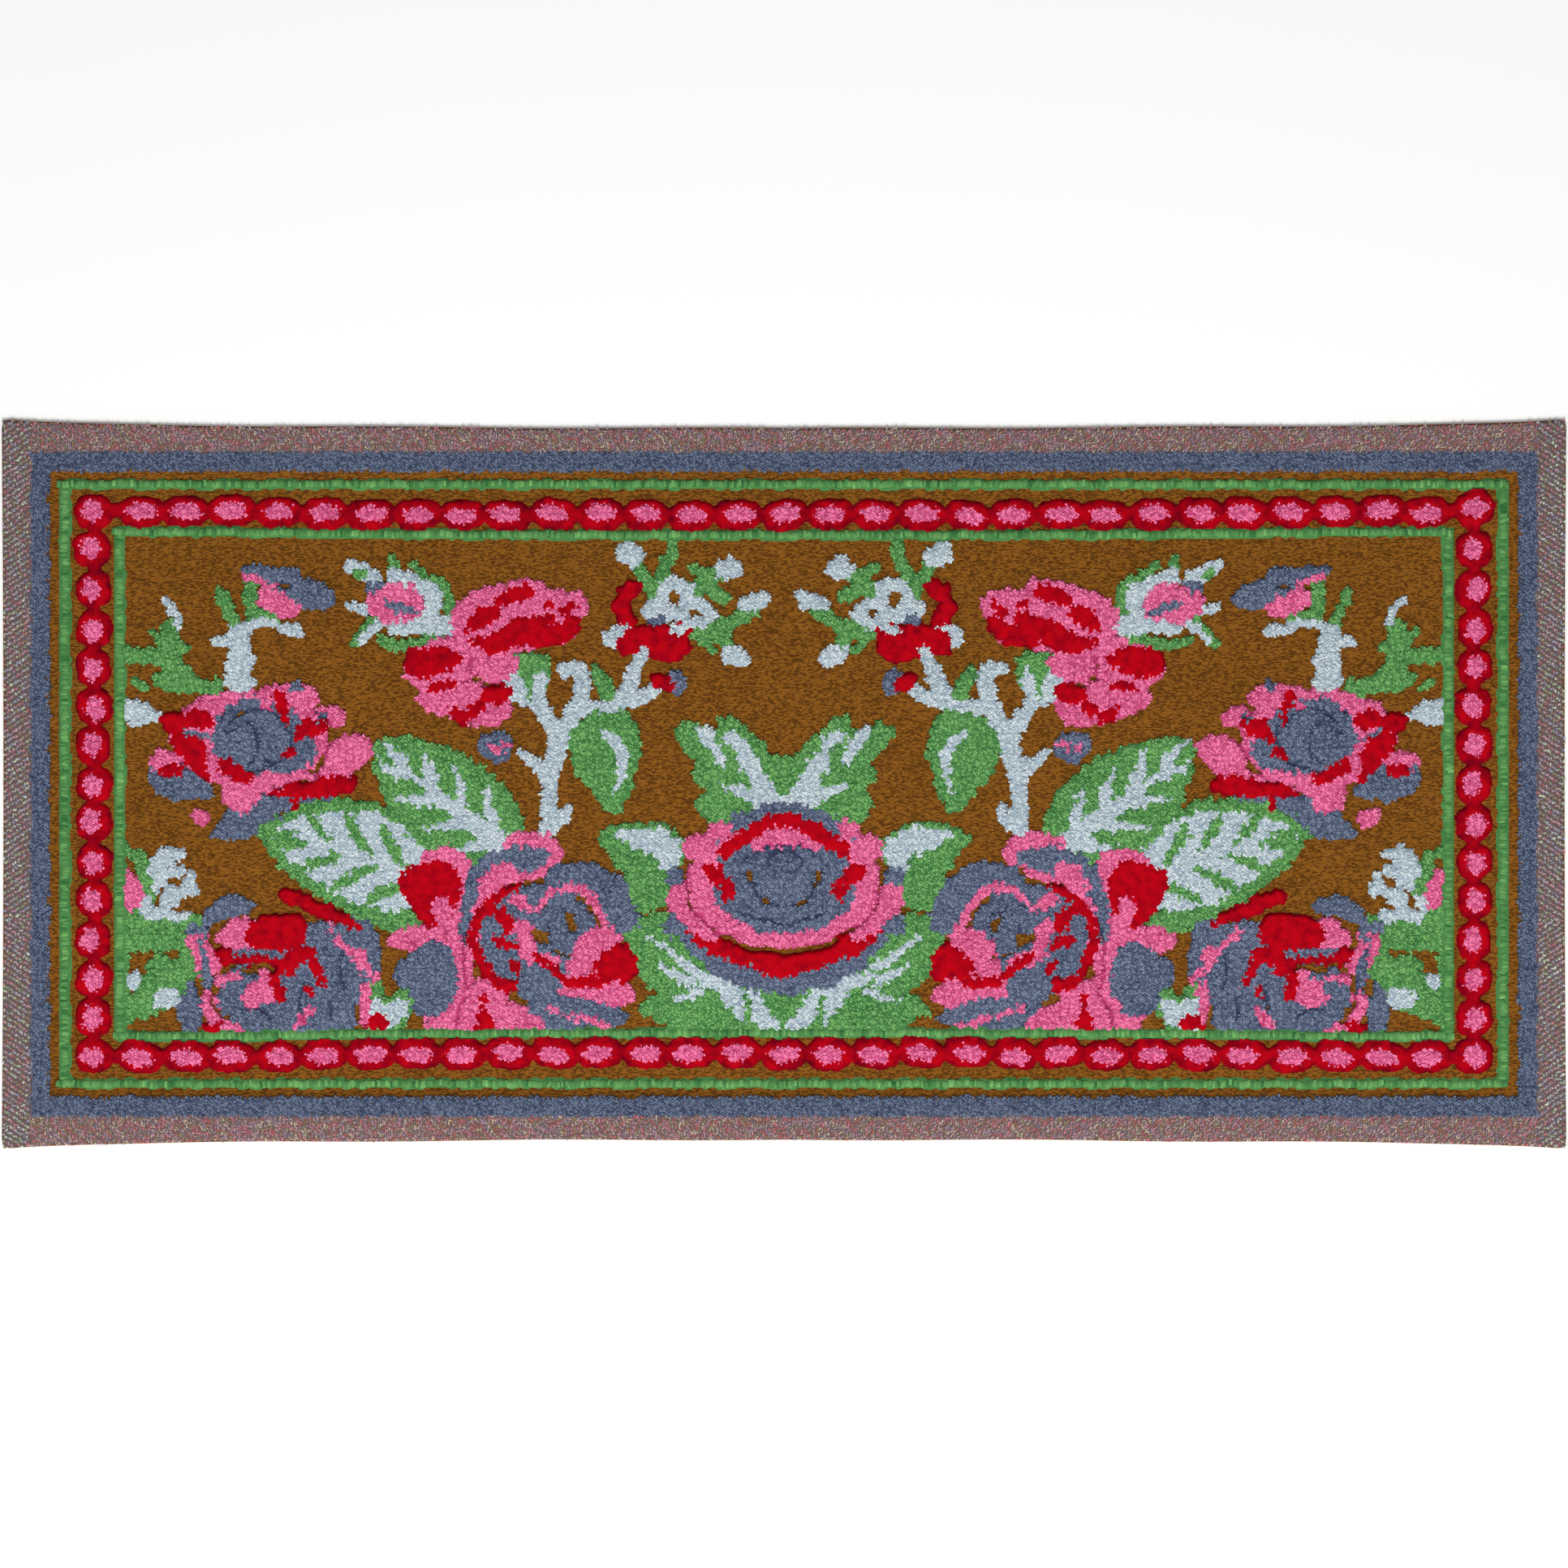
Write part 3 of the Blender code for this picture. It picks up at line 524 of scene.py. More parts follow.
def arc_depth(arc, x, y):
    """How far inside an arc's band each point is, in mm."""
    across, up = x - arc.x, y - arc.y
    angle = np.arctan2(up / arc.radius_y, across / arc.radius_x)
    middle = np.radians((arc.start + arc.end) / 2)
    reach = np.radians((arc.end - arc.start) / 2)
    spread = np.abs((angle - middle + np.pi) % (2 * np.pi) - np.pi) / reach
    radius = np.hypot(arc.radius_x * np.cos(angle), arc.radius_y * np.sin(angle))
    share = np.hypot(across / arc.radius_x, up / arc.radius_y)
    taper = 1.0 if arc.end - arc.start >= 360 else np.sqrt(np.clip(1 - spread**6, 0, 1))
    inside = arc.breadth / 2 * taper - np.abs(share - 1) * radius
    if arc.yarn == RED and arc.breadth > STEP_FROM:
        inside = inside + STEP * (2 * np.abs(angle * radius / STEP_PITCH % 1 - 0.5) - 0.6)
    return np.where(spread <= 1, inside, OUTSIDE)


def patch_depth(patch, x, y):
    """How far inside a patch each point is, in mm."""
    if isinstance(patch, Arc):
        return arc_depth(patch, x, y)
    along_x, along_y = patch.tip_x - patch.root_x, patch.tip_y - patch.root_y
    length = np.hypot(along_x, along_y)
    share = ((x - patch.root_x) * along_x + (y - patch.root_y) * along_y) / length**2
    off = ((y - patch.root_y) * along_x - (x - patch.root_x) * along_y) / length
    off = off - length * 4 * patch.bend * share * (1 - share)
    half = patch.width / 2 * half_width(share, patch.form)
    if patch.form in ("serrate", "pointed"):
        along = (share * max(4, round(length / TOOTH_PITCH)) + 0.4 * (off > 0)) % 1.0
        half = half + TOOTH * (np.minimum(np.sqrt(along), 5 * (1 - along)) - 0.7)
    if patch.form == "lobed":
        wave = np.sin(np.pi * (share * length / LOBE_PITCH + 0.3 * (off > 0)))
        half = half + LOBE * (np.abs(wave) ** 0.6 - 0.7)
    return np.where((share > 0) & (share < 1), half - np.abs(off), OUTSIDE)


def patch_reach(patch):
    """Lowest and highest x and y that a patch can cover."""
    if isinstance(patch, Arc):
        half_x = patch.radius_x + patch.breadth
        half_y = patch.radius_y + patch.breadth
        return patch.x - half_x, patch.x + half_x, patch.y - half_y, patch.y + half_y
    length = np.hypot(patch.tip_x - patch.root_x, patch.tip_y - patch.root_y)
    out = patch.width * 0.6 + abs(patch.bend) * length + WARP_MARGIN
    low_x, high_x = sorted((patch.root_x, patch.tip_x))
    low_y, high_y = sorted((patch.root_y, patch.tip_y))
    return low_x - out, high_x + out, low_y - out, high_y + out


# Uneven shifts of hand-set rows: wave length, shift and start of each wave
Ripple = namedtuple("Ripple", "wave shift seed")
FIELD_RIPPLES = [Ripple(41.0, 1.4, 0.3), Ripple(13.0, 1.3, 1.7), Ripple(8.9, 1.7, 4.4), Ripple(6.3, 0.8, 3.1)]
CRACK_RIPPLES = [Ripple(41.0, 1.5, 0.3), Ripple(9.0, 1.0, 2.2)]
BORDER_RIPPLES = [Ripple(60.0, 0.7, 0.9), Ripple(17.0, 0.7, 2.6), Ripple(6.0, 0.5, 4.0)]


def rippled(x, y, ripples):
    """The places with their uneven shifts. The odd factors keep the waves from falling into step."""
    moved_x, moved_y = x.copy(), y.copy()
    for ripple in ripples:
        k = 2 * np.pi / ripple.wave
        bend = 1.4 * np.sin(k * 0.71 * y + ripple.seed)
        lean = 1.3 * np.sin(k * 0.83 * x + ripple.seed * 2.0)
        moved_x += ripple.shift * (np.sin(k * x + bend) + np.sin(k * 1.27 * y + 2.0 + ripple.seed)) * 0.6
        moved_y += ripple.shift * (np.sin(k * y + lean) + np.sin(k * 1.19 * x + 1.0 + ripple.seed)) * 0.6
    return moved_x, moved_y


def half_depth(x):
    """Half depth of the rug at each x: drawn in at the waist, flared at the corners."""
    share = np.abs(x) / HALF_LENGTH
    flare = (1 - CORNER_FLARE) * share**2 + CORNER_FLARE * share**16
    wave = EDGE_WAVE * np.sin(EDGE_WAVES * 2 * np.pi * share) * (1 - share**8)
    return WAIST_HALF_DEPTH + CORNER_GAIN * flare + wave


def half_length(y):
    """Half length of the rug at each y: the ends are drawn in a little."""
    share = np.clip(np.abs(y) / WAIST_HALF_DEPTH, 0, 1)
    return HALF_LENGTH - END_WAIST * (1 - share**2)


def frame_depth(x, y, half_x, half_y):
    """How far inside a rectangle's edge each point is, in mm."""
    return np.minimum(half_x - np.abs(x), half_y - np.abs(y))


def in_band(x, y, band):
    """True where a point is in a frame-shaped band."""
    outer = frame_depth(x, y, band.outer_x, band.outer_y) > 0
    return outer & (frame_depth(x, y, band.inner_x, band.inner_y) < 0)


def bow(x):
    """How far the bead chain and the inner line are drawn in at each x."""
    return BOW * (1 - np.clip(np.abs(x) / BOW_REACH, 0, 1) ** 4)


Bead = namedtuple("Bead", "x y length depth turn heart_x heart_y")


def bead_chain():
    """The beads of the border, each a little uneven."""
    rng = np.random.default_rng(BEAD_SEED)
    places = []
    for column in np.linspace(-BEAD_ROW_X, BEAD_ROW_X, LONG_BEADS):
        size = CORNER_BEAD if abs(column) > BEAD_ROW_X - 1 else LONG_BEAD
        places += [(column, BEAD_ROW_Y, *size), (column, -BEAD_ROW_Y, *size)]
    for row in np.linspace(-BEAD_ROW_Y, BEAD_ROW_Y, SHORT_BEADS)[1:-1]:
        places += [(BEAD_ROW_X, row, *SHORT_BEAD), (-BEAD_ROW_X, row, *SHORT_BEAD)]
    beads = []
    for x, y, length, depth in places:
        y -= np.sign(y) * bow(x)
        shift = rng.normal(0, BEAD_SHIFT, 2)
        grow = rng.normal(1, BEAD_GROWTH, 2)
        heart = rng.normal(0, HEART_SHIFT, 2)
        turn = rng.normal(0, BEAD_TURN)
        beads.append(Bead(x + shift[0], y + shift[1], length * grow[0], depth * grow[1], turn, *heart))
    return beads


def soften(field, reach):
    """The field averaged over about reach mm round each point."""
    cells = max(1, round(reach / MAP_STEP))
    out = field.astype(np.float32)
    for _ in range(2):
        for axis in (0, 1):
            padded = np.pad(out, [(cells + 1, cells) if a == axis else (0, 0) for a in (0, 1)], mode="edge")
            total = np.cumsum(padded, axis=axis, dtype=np.float64)
            span = 2 * cells + 1
            upper = np.take(total, range(span, total.shape[axis]), axis=axis)
            lower = np.take(total, range(total.shape[axis] - span), axis=axis)
            out = ((upper - lower) / span).astype(np.float32)
    return out


Pattern = namedtuple("Pattern", "x y yarn top pile red crack")


@functools.lru_cache(maxsize=1)
def pattern():
    """Yarn and height of the pile at every point of the rug, worked out from the tables."""
    axis_x = np.arange(-MAP_HALF_X, MAP_HALF_X + MAP_STEP / 2, MAP_STEP)
    axis_y = np.arange(-MAP_HALF_Y, MAP_HALF_Y + MAP_STEP / 2, MAP_STEP)
    x, y = np.meshgrid(axis_x, axis_y)
    yarn = np.full(x.shape, GROUND, np.uint8)
    top = np.full(x.shape, LEAF_TOP, np.float32)
    crack = np.zeros(x.shape, bool)

    def windows(low_x, high_x, low_y, high_y):
        rows = slice(*np.searchsorted(axis_y, (low_y, high_y)))
        low_x = max(low_x, 0)
        for start, end in ((low_x, high_x), (-high_x, -low_x)):
            yield rows, slice(*np.searchsorted(axis_x, (start, end)))

    def paint(patch, ripples, *layers):
        at_x, at_y = moved[ripples]
        for place in windows(*patch_reach(patch)):
            hit = patch_depth(patch, at_x[place], at_y[place]) > 0
            for field, value in layers:
                field[place][hit] = value

    moved = {}
    for name, ripples in (("field", FIELD_RIPPLES), ("crack", CRACK_RIPPLES)):
        moved_x, moved_y = rippled(x, y, ripples)
        moved[name] = moved_x + (np.abs(x) - x), moved_y
    for motif in MOTIFS:
        for row in motif.rows:
            for patch in leaf_patches(row) if isinstance(row, Leaf) else [row]:
                paint(patch, "field", (yarn, patch.yarn), (top, motif.top))
    for place_x, place_y in BERRIES:
        ends = (place_x - BERRY_SIZE / 2, place_y, place_x + BERRY_SIZE / 2, place_y)
        paint(oval(WHITE, *ends, BERRY_SIZE), "field", (yarn, WHITE), (top, STEM_TOP))
    for patch in CRACKS:
        paint(patch, "crack", (yarn, GROUND), (crack, True))
    paint_border(x, y, yarn, top)
    pile = yarn != GROUND
    red = soften(yarn == RED, RED_BLUR)
    deep = np.clip(soften(crack, CRACK_BLUR) * CRACK_GAIN, 0, 1)
    return Pattern(axis_x, axis_y, yarn, soften(top, TOP_BLUR), soften(pile, PILE_BLUR), red, deep)


def paint_bead(bead, x, y, edge_x, edge_y, yarn, top):
    """Adds one domed red bead with its ragged pink heart to the pattern."""
    reach = max(bead.length, bead.depth) / 2 + BEAD_MARGIN
    rows = slice(*np.searchsorted(y[:, 0], (bead.y - reach, bead.y + reach)))
    columns = slice(*np.searchsorted(x[0], (bead.x - reach, bead.x + reach)))
    place = rows, columns
    across = edge_x[place] - bead.x
    up = edge_y[place] - bead.y
    u = (across * np.cos(bead.turn) + up * np.sin(bead.turn)) / (bead.length / 2)
    v = (up * np.cos(bead.turn) - across * np.sin(bead.turn)) / (bead.depth / 2)
    power_u, power_v, power = BEAD_POWERS
    share = (np.abs(u) ** power_u + np.abs(v) ** power_v) ** (1 / power)
    hit = share < 1
    yarn[place][hit] = RED
    dome = BEAD_RIM + (BEAD_TOP - BEAD_RIM) * np.clip(1 - share**DOME_POWER, 0, 1)
    top[place][hit] = dome[hit]
    share_u, share_v = HEART_SHARE if bead.length > bead.depth + LONG_BY else HEART_SHARE[::-1]
    heart_u = (u - bead.heart_x / bead.length * 2) / share_u
    heart_v = (v - bead.heart_y / bead.depth * 2) / share_v
    angle = np.arctan2(heart_v, heart_u)
    ragged = 1 + HEART_WAVE * np.sin(5 * angle + bead.x) + HEART_TEETH * np.sin(18 * angle + bead.y)
    yarn[place][np.hypot(heart_u, heart_v) < ragged] = PINK


def paint_border(x, y, yarn, top):
    """Adds the lines, the bead chain, the slate band and the mixed band to the pattern."""
    edge_x, edge_y = rippled(x, y, BORDER_RIPPLES)
    bowed_y = edge_y + np.sign(y) * bow(x)
    yarn[frame_depth(edge_x, bowed_y, INNER_LINE.inner_x, INNER_LINE.inner_y) <= 0] = GROUND
    half = NECK / 2
    neck = Band(BEAD_ROW_X + half, BEAD_ROW_Y + half, BEAD_ROW_X - half, BEAD_ROW_Y - half)

    def paint(band, band_y, colour, height):
        hit = in_band(edge_x, band_y, band)
        yarn[hit] = colour
        top[hit] = height

    paint(INNER_LINE, bowed_y, LINE_GREEN, LINE_TOP)
    paint(OUTER_LINE, edge_y, LINE_GREEN, LINE_TOP)
    paint(neck, bowed_y, RED, BEAD_RIM)
    for bead in bead_chain():
        paint_bead(bead, x, y, edge_x, edge_y, yarn, top)
    paint(SLATE_BAND, edge_y, BAND_SLATE, SLATE_BAND_TOP)
    beyond = frame_depth(edge_x, edge_y, SLATE_BAND.outer_x, SLATE_BAND.outer_y) <= 0
    inside = (np.abs(y) < half_depth(x)) & (np.abs(x) < half_length(y))
    yarn[beyond] = GROUND
    yarn[beyond & inside] = MIXED
    top[beyond] = MIXED_TOP


def read_map(field, x, y):
    """The field's value at each place."""
    made = pattern()
    column = np.clip(np.round((x - made.x[0]) / MAP_STEP).astype(int), 0, len(made.x) - 1)
    row = np.clip(np.round((y - made.y[0]) / MAP_STEP).astype(int), 0, len(made.y) - 1)
    return field[row, column]


def slope_of(field, x, y):
    """How the field rises along x and y at each place, over 2 mm."""
    rise_x = read_map(field, x + 1.0, y) - read_map(field, x - 1.0, y)
    rise_y = read_map(field, x, y + 1.0) - read_map(field, x, y - 1.0)
    return rise_x, rise_y


# Places of loops and strands


def lattice(pitch_x, pitch_y, jitter, turn, seed):
    """Places in staggered slanting rows all over the rug, each moved a little."""
    rng = np.random.default_rng(seed)
    reach = np.hypot(MAP_HALF_X, MAP_HALF_Y)
    rows = np.arange(-reach, reach, pitch_y)
    columns = np.arange(-reach, reach, pitch_x)
    along, across = np.meshgrid(columns, rows)
    along = along + (np.arange(len(rows)) % 2)[:, None] * pitch_x / 2
    along = along + rng.uniform(-jitter, jitter, along.shape) * pitch_x
    across = across + rng.uniform(-jitter, jitter, across.shape) * pitch_y
    x = along * np.cos(turn) - across * np.sin(turn)
    y = along * np.sin(turn) + across * np.cos(turn)
    held = (np.abs(x) < MAP_HALF_X) & (np.abs(y) < MAP_HALF_Y)
    return x[held], y[held]


# Clumps of loops: distance between their centres, and width of the dip from one to the next
CLUMP = 6.6
CLUMP_GAP = 2.6
CLUMP_SPREAD = (0.12, 0.88)


def clump_of(x, y):
    """Centre of the clump that each place belongs to, and how near it is to the clump's edge, from 0 to 1."""
    rng = np.random.default_rng(CLUMP_SEED)
    count_x, count_y = int(2 * MAP_HALF_X / CLUMP) + 4, int(2 * MAP_HALF_Y / CLUMP) + 4
    centres = rng.uniform(*CLUMP_SPREAD, (count_y, count_x, 2))
    cell_x = np.floor((x + MAP_HALF_X) / CLUMP).astype(int) + 1
    cell_y = np.floor((y + MAP_HALF_Y) / CLUMP).astype(int) + 1
    nearest = np.full(x.shape, np.inf)
    second = np.full(x.shape, np.inf)
    best_x, best_y = x.copy(), y.copy()
    for step_y in (-1, 0, 1):
        for step_x in (-1, 0, 1):
            column = np.clip(cell_x + step_x, 0, count_x - 1)
            row = np.clip(cell_y + step_y, 0, count_y - 1)
            centre_x = (column - 1 + centres[row, column, 0]) * CLUMP - MAP_HALF_X
            centre_y = (row - 1 + centres[row, column, 1]) * CLUMP - MAP_HALF_Y
            distance = np.hypot(x - centre_x, y - centre_y)
            closer = distance < nearest
            second = np.where(closer, nearest, np.minimum(second, distance))
            nearest = np.where(closer, distance, nearest)
            best_x = np.where(closer, centre_x, best_x)
            best_y = np.where(closer, centre_y, best_y)
    edge = np.clip(1 - (second - nearest) / CLUMP_GAP, 0, 1)
    return best_x, best_y, edge


# Loops and strands alike: place, height of the back, turn, lean of the back, tone and, for loops, the yarn
Loops = namedtuple("Loops", "x y top turn lean_x lean_y tone yarn", defaults=[None])

# Rows of loops: distance between rows as a share of the pitch, turn and unevenness
ROW_SHARE = 0.866
LOOP_ROWS_TURN = 0.47
LOOP_JITTER = 0.27

# How deep in the pile a loop has to stand, how far it is drawn to its clump's centre, and how far it dips and
# leans between clumps, which is less in the smooth slate band
LOOP_INSET = 0.46
CLUMP_PULL = 0.5
CLUMP_DIP = 1.5
SMOOTH_DIP = 0.4
CLUMP_LEAN = 0.16
SMOOTH_LEAN = 0.05

# Cracks between petals: where no loop stands, how far the pile beside them dips, and how far it is darkened
# with painted shade, as shade falls into the crack
CRACK_OPEN = 0.7
CRACK_DIP = 0.9
CRACK_SHADE = 0.5

# Rims of the pile: loops sink, lean out and lie along the edge
RIM_COVER = 0.5
RIM_WIDTH = 0.45
RIM_DROP = 0.26
RIM_ROUND = 0.15
RIM_LEAN = 1.6

# Small random differences from loop to loop, in mm or radians
TOP_JITTER = 0.3
LEAN_JITTER = 0.15
RIM_TURN_JITTER = 0.25
FREE_TURN_JITTER = 0.6

# Tones, which move a loop's colour from its root's, a painted shade, at 0, to its back's, at 1. Pairs are mean
# and spread.
LOOP_TONE = (0.03, 0.28)
# Painted shade: loops at the edges of clumps are darkened, as the dips between clumps lie in shade
CLUMP_EDGE_SHADE = 0.30
LINE_TONE = (-0.50, 0.20)
# Painted shade at the loops' feet, where shade falls between the loops
ROOT_SHADE = -0.66
LINE_ROOT_SHADE = -0.12

# Loops of the green lines: how they sway from side to side, the distance over which they do, and unevenness
LINE_SWAY = 0.45
LINE_SWAY_PITCH = 6.6
LINE_JITTER = 0.35
LINE_TURN_JITTER = 0.14


def field_loops():
    """Loops of the flowers, leaves and slate band, set in clumps with small dips between them."""
    made = pattern()
    pitch = bpy.context.scene.rug_sizes.loop_pitch / MM
    x, y = lattice(pitch, pitch * ROW_SHARE, LOOP_JITTER, LOOP_ROWS_TURN, LATTICE_SEED)
    rng = np.random.default_rng(LOOP_SEED)
    clump_x, clump_y, edge = clump_of(x, y)
    drawn_x, drawn_y = x + CLUMP_PULL * (clump_x - x), y + CLUMP_PULL * (clump_y - y)
    yarn, own = read_map(made.yarn, drawn_x, drawn_y), read_map(made.yarn, x, y)
    settled = np.isin(own, (RED, BAND_SLATE)) | np.isin(yarn, (RED, BAND_SLATE))
    yarn = np.where(settled, own, yarn)
    cover = read_map(made.pile, np.where(settled, x, drawn_x), np.where(settled, y, drawn_y))
    crack = read_map(made.crack, x, y)
    looped = np.isin(yarn, (GREEN, WHITE, PINK, SLATE, BAND_SLATE))
    keep = looped & (cover > LOOP_INSET) & (crack < CRACK_OPEN)
    x, y, yarn, cover, edge, crack, clump_x, clump_y = (
        field[keep] for field in (x, y, yarn, cover, edge, crack, clump_x, clump_y)
    )
    smooth = yarn == BAND_SLATE
    slope_x, slope_y = slope_of(made.pile, x, y)
    dip = np.where(smooth, SMOOTH_DIP, 1.0) * CLUMP_DIP * edge**1.5
    roundness = 1 - np.clip((cover - RIM_COVER) / RIM_WIDTH, 0, 1)
    top = GROUND_TOP + (read_map(made.top, x, y) - GROUND_TOP) * (1 - RIM_DROP * roundness)
    top = top - dip - CRACK_DIP * crack + rng.uniform(-TOP_JITTER, TOP_JITTER, x.shape)
    turn = 0.6 + 0.5 * np.sin(x / 47.0 + 1.0) * np.cos(y / 39.0) + rng.normal(0, FREE_TURN_JITTER, x.shape)
    along_rim = np.arctan2(slope_y, slope_x) + np.pi / 2 + rng.normal(0, RIM_TURN_JITTER, x.shape)
    turn = np.where(roundness > RIM_ROUND, along_rim, turn)
    pull = np.where(smooth, SMOOTH_LEAN, CLUMP_LEAN)
    lean_x = (clump_x - x) * pull - slope_x * RIM_LEAN + rng.normal(0, LEAN_JITTER, x.shape)
    lean_y = (clump_y - y) * pull - slope_y * RIM_LEAN + rng.normal(0, LEAN_JITTER, x.shape)
    # Random tone, less painted shade at the clumps' edges and beside the cracks
    tone = rng.normal(*LOOP_TONE, x.shape) - CLUMP_EDGE_SHADE * edge - CRACK_SHADE * crack
    return Loops(x, y, top, turn, lean_x, lean_y, tone, yarn)


def line_loops(band, seed):
    """Loops of one green line, each right across it."""
    rng = np.random.default_rng(seed)
    pitch = bpy.context.scene.rug_sizes.line_pitch / MM
    centre_x, centre_y = (band.outer_x + band.inner_x) / 2, (band.outer_y + band.inner_y) / 2
    breadth = band.outer_x - band.inner_x
    run_x = np.arange(-centre_x - breadth / 2, centre_x + breadth / 2, pitch)
    run_y = np.arange(-centre_y + breadth / 2, centre_y - breadth / 2, pitch)
    still_x, still_y = np.full(run_y.shape, centre_x), np.full(run_x.shape, centre_y)
    x = np.concatenate([run_x, run_x, -still_x, still_x])
    y = np.concatenate([-still_y, still_y, run_y, run_y])
    across = np.concatenate([np.full(2 * len(run_x), np.pi / 2), np.zeros(2 * len(run_y))])
    sway = LINE_SWAY * np.sin((x + y) * 2 * np.pi / LINE_SWAY_PITCH + 1.5 * np.sin((x + y) / 29.0))
    x = x + rng.normal(0, LINE_JITTER, x.shape) + np.where(across < 1, sway, 0)
    y = y + rng.normal(0, LINE_JITTER, y.shape) + np.where(across > 1, sway, 0)
    if band is INNER_LINE:
        y = y - np.sign(y) * bow(x)
    moved_x, moved_y = rippled(x, y, BORDER_RIPPLES)
    x, y = 2 * x - moved_x, 2 * y - moved_y
    top = LINE_TOP + rng.uniform(-LINE_JITTER, LINE_JITTER, x.shape)
    zero = np.zeros_like(x)
    turn = across + rng.normal(0, LINE_TURN_JITTER, x.shape)
    tone = rng.normal(*LINE_TONE, x.shape)
    return Loops(x, y, top, turn, zero, zero, tone, np.full(x.shape, LINE_GREEN))


@functools.lru_cache(maxsize=1)
def loops():
    """Every loop of the rug, with the height, lean and yarn of each."""
    lines = [line_loops(INNER_LINE, INNER_LINE_SEED), line_loops(OUTER_LINE, OUTER_LINE_SEED)]
    groups = [field_loops(), *lines]
    return Loops(*(np.concatenate(fields) for fields in zip(*groups)))


# Meshes


def deselect():
    """Leaves nothing selected."""
    bpy.ops.object.select_all(action="DESELECT")


def add_grid(columns, rows):
    """A new grid, 2 by 2, and its points."""
    deselect()
    bpy.ops.mesh.primitive_grid_add(x_subdivisions=columns, y_subdivisions=rows, size=2)
    obj = bpy.context.object
    unit = np.empty(len(obj.data.vertices) * 3)
    obj.data.vertices.foreach_get("co", unit)
    return obj, unit.reshape(-1, 3)


def cells_of(mesh):
    """The four points of each cell of a grid."""
    corners = np.empty(len(mesh.loops), np.int32)
    mesh.loops.foreach_get("vertex_index", corners)
    return corners.reshape(-1, 4)


def move_points(mesh, x, y, z):
    """Puts a mesh's points at places in millimetres."""
    mesh.vertices.foreach_set("co", (np.stack([x, y, z], axis=1) * MM).ravel())


def add_layer(mesh, name, values):
    """Stores a number, or a colour with its opacity, at each point of a mesh."""
    kind, key = ("FLOAT", "value") if values.ndim == 1 else ("FLOAT_COLOR", "color")
    mesh.attributes.new(name, kind, "POINT").data.foreach_set(key, values.astype(np.float32).ravel())


def mesh_piece(name, points, faces):
    """An object from arrays of points in millimetres and of faces of one size."""
    mesh = bpy.data.meshes.new(name)
    mesh.vertices.add(len(points))
    mesh.vertices.foreach_set("co", (points * MM).astype(np.float32).ravel())
    mesh.loops.add(faces.size)
    mesh.loops.foreach_set("vertex_index", faces.astype(np.int32).ravel())
    mesh.polygons.add(len(faces))
    mesh.polygons.foreach_set("loop_start", np.arange(0, faces.size, faces.shape[1], dtype=np.int32))
    mesh.update(calc_edges=True)
    mesh.validate()
    mesh.shade_smooth()
    obj = bpy.data.objects.new(name, mesh)
    bpy.context.scene.collection.objects.link(obj)
    return obj


def edit_select(obj, kind, test):
    """Selects the vertices or faces of obj that pass the test, in edit mode."""
    bpy.ops.mesh.select_all(action="DESELECT")
    bpy.ops.mesh.select_mode(type=kind)
    shape = bmesh.from_edit_mesh(obj.data)
    for part in shape.verts if kind == "VERT" else shape.faces:
        part.select = bool(test(part))
    if kind == "VERT":
        shape.select_flush(True)
    bmesh.update_edit_mesh(obj.data)


Model = namedtuple("Model", "points faces")

# The loop's model, 2 by 2 by 1: its ridge as a share of its first square, and its ends and sides drawn out
FIRST_SQUARE = 1.5
RIDGE_SHARE = 0.45
END_GROWTH = 1.34
SIDE_GROWTH = (0.72, 1.33)
LOW = 0.01


@functools.lru_cache(maxsize=1)
def loop_model():
    """One loop of yarn as a low ridge, 2 by 2 by 1, open underneath."""
    deselect()
    bpy.ops.mesh.primitive_plane_add(size=FIRST_SQUARE)
    obj = bpy.context.object
    bpy.ops.object.mode_set(mode="EDIT")
    bpy.ops.mesh.select_all(action="SELECT")
    bpy.ops.mesh.extrude_region_move(TRANSFORM_OT_translate={"value": (0, 0, 1)})
    bpy.ops.transform.resize(value=(RIDGE_SHARE, 0, 1))
    bpy.ops.mesh.select_all(action="SELECT")
    bpy.ops.mesh.remove_doubles(threshold=LOW)
    bpy.ops.mesh.delete_loose()
    bpy.ops.mesh.bisect(plane_co=(0, 0, 0), plane_no=(0, 1, 0))
    edit_select(obj, "VERT", lambda v: v.co.z < LOW and abs(v.co.y) < LOW and abs(v.co.x) > 0.5)
    bpy.ops.transform.resize(value=(END_GROWTH, 1, 1))
    edit_select(obj, "VERT", lambda v: v.co.z < LOW and abs(v.co.y) > 0.5)
    bpy.ops.transform.resize(value=(*SIDE_GROWTH, 1))
    edit_select(obj, "FACE", lambda face: all(abs(v.co.z) < LOW for v in face.verts))
    bpy.ops.mesh.delete(type="ONLY_FACE")
    bpy.ops.mesh.select_all(action="SELECT")
    bpy.ops.mesh.normals_make_consistent(inside=False)
    bpy.ops.mesh.quads_convert_to_tris()
    bpy.ops.object.mode_set(mode="OBJECT")
    points = np.array([v.co for v in obj.data.vertices])
    faces = np.array(sorted(tuple(p.vertices) for p in obj.data.polygons))
    bpy.data.objects.remove(obj)
    return Model(points, faces)


# How much of a loop's lean reaches its foot
FOOT_LEAN = 0.55


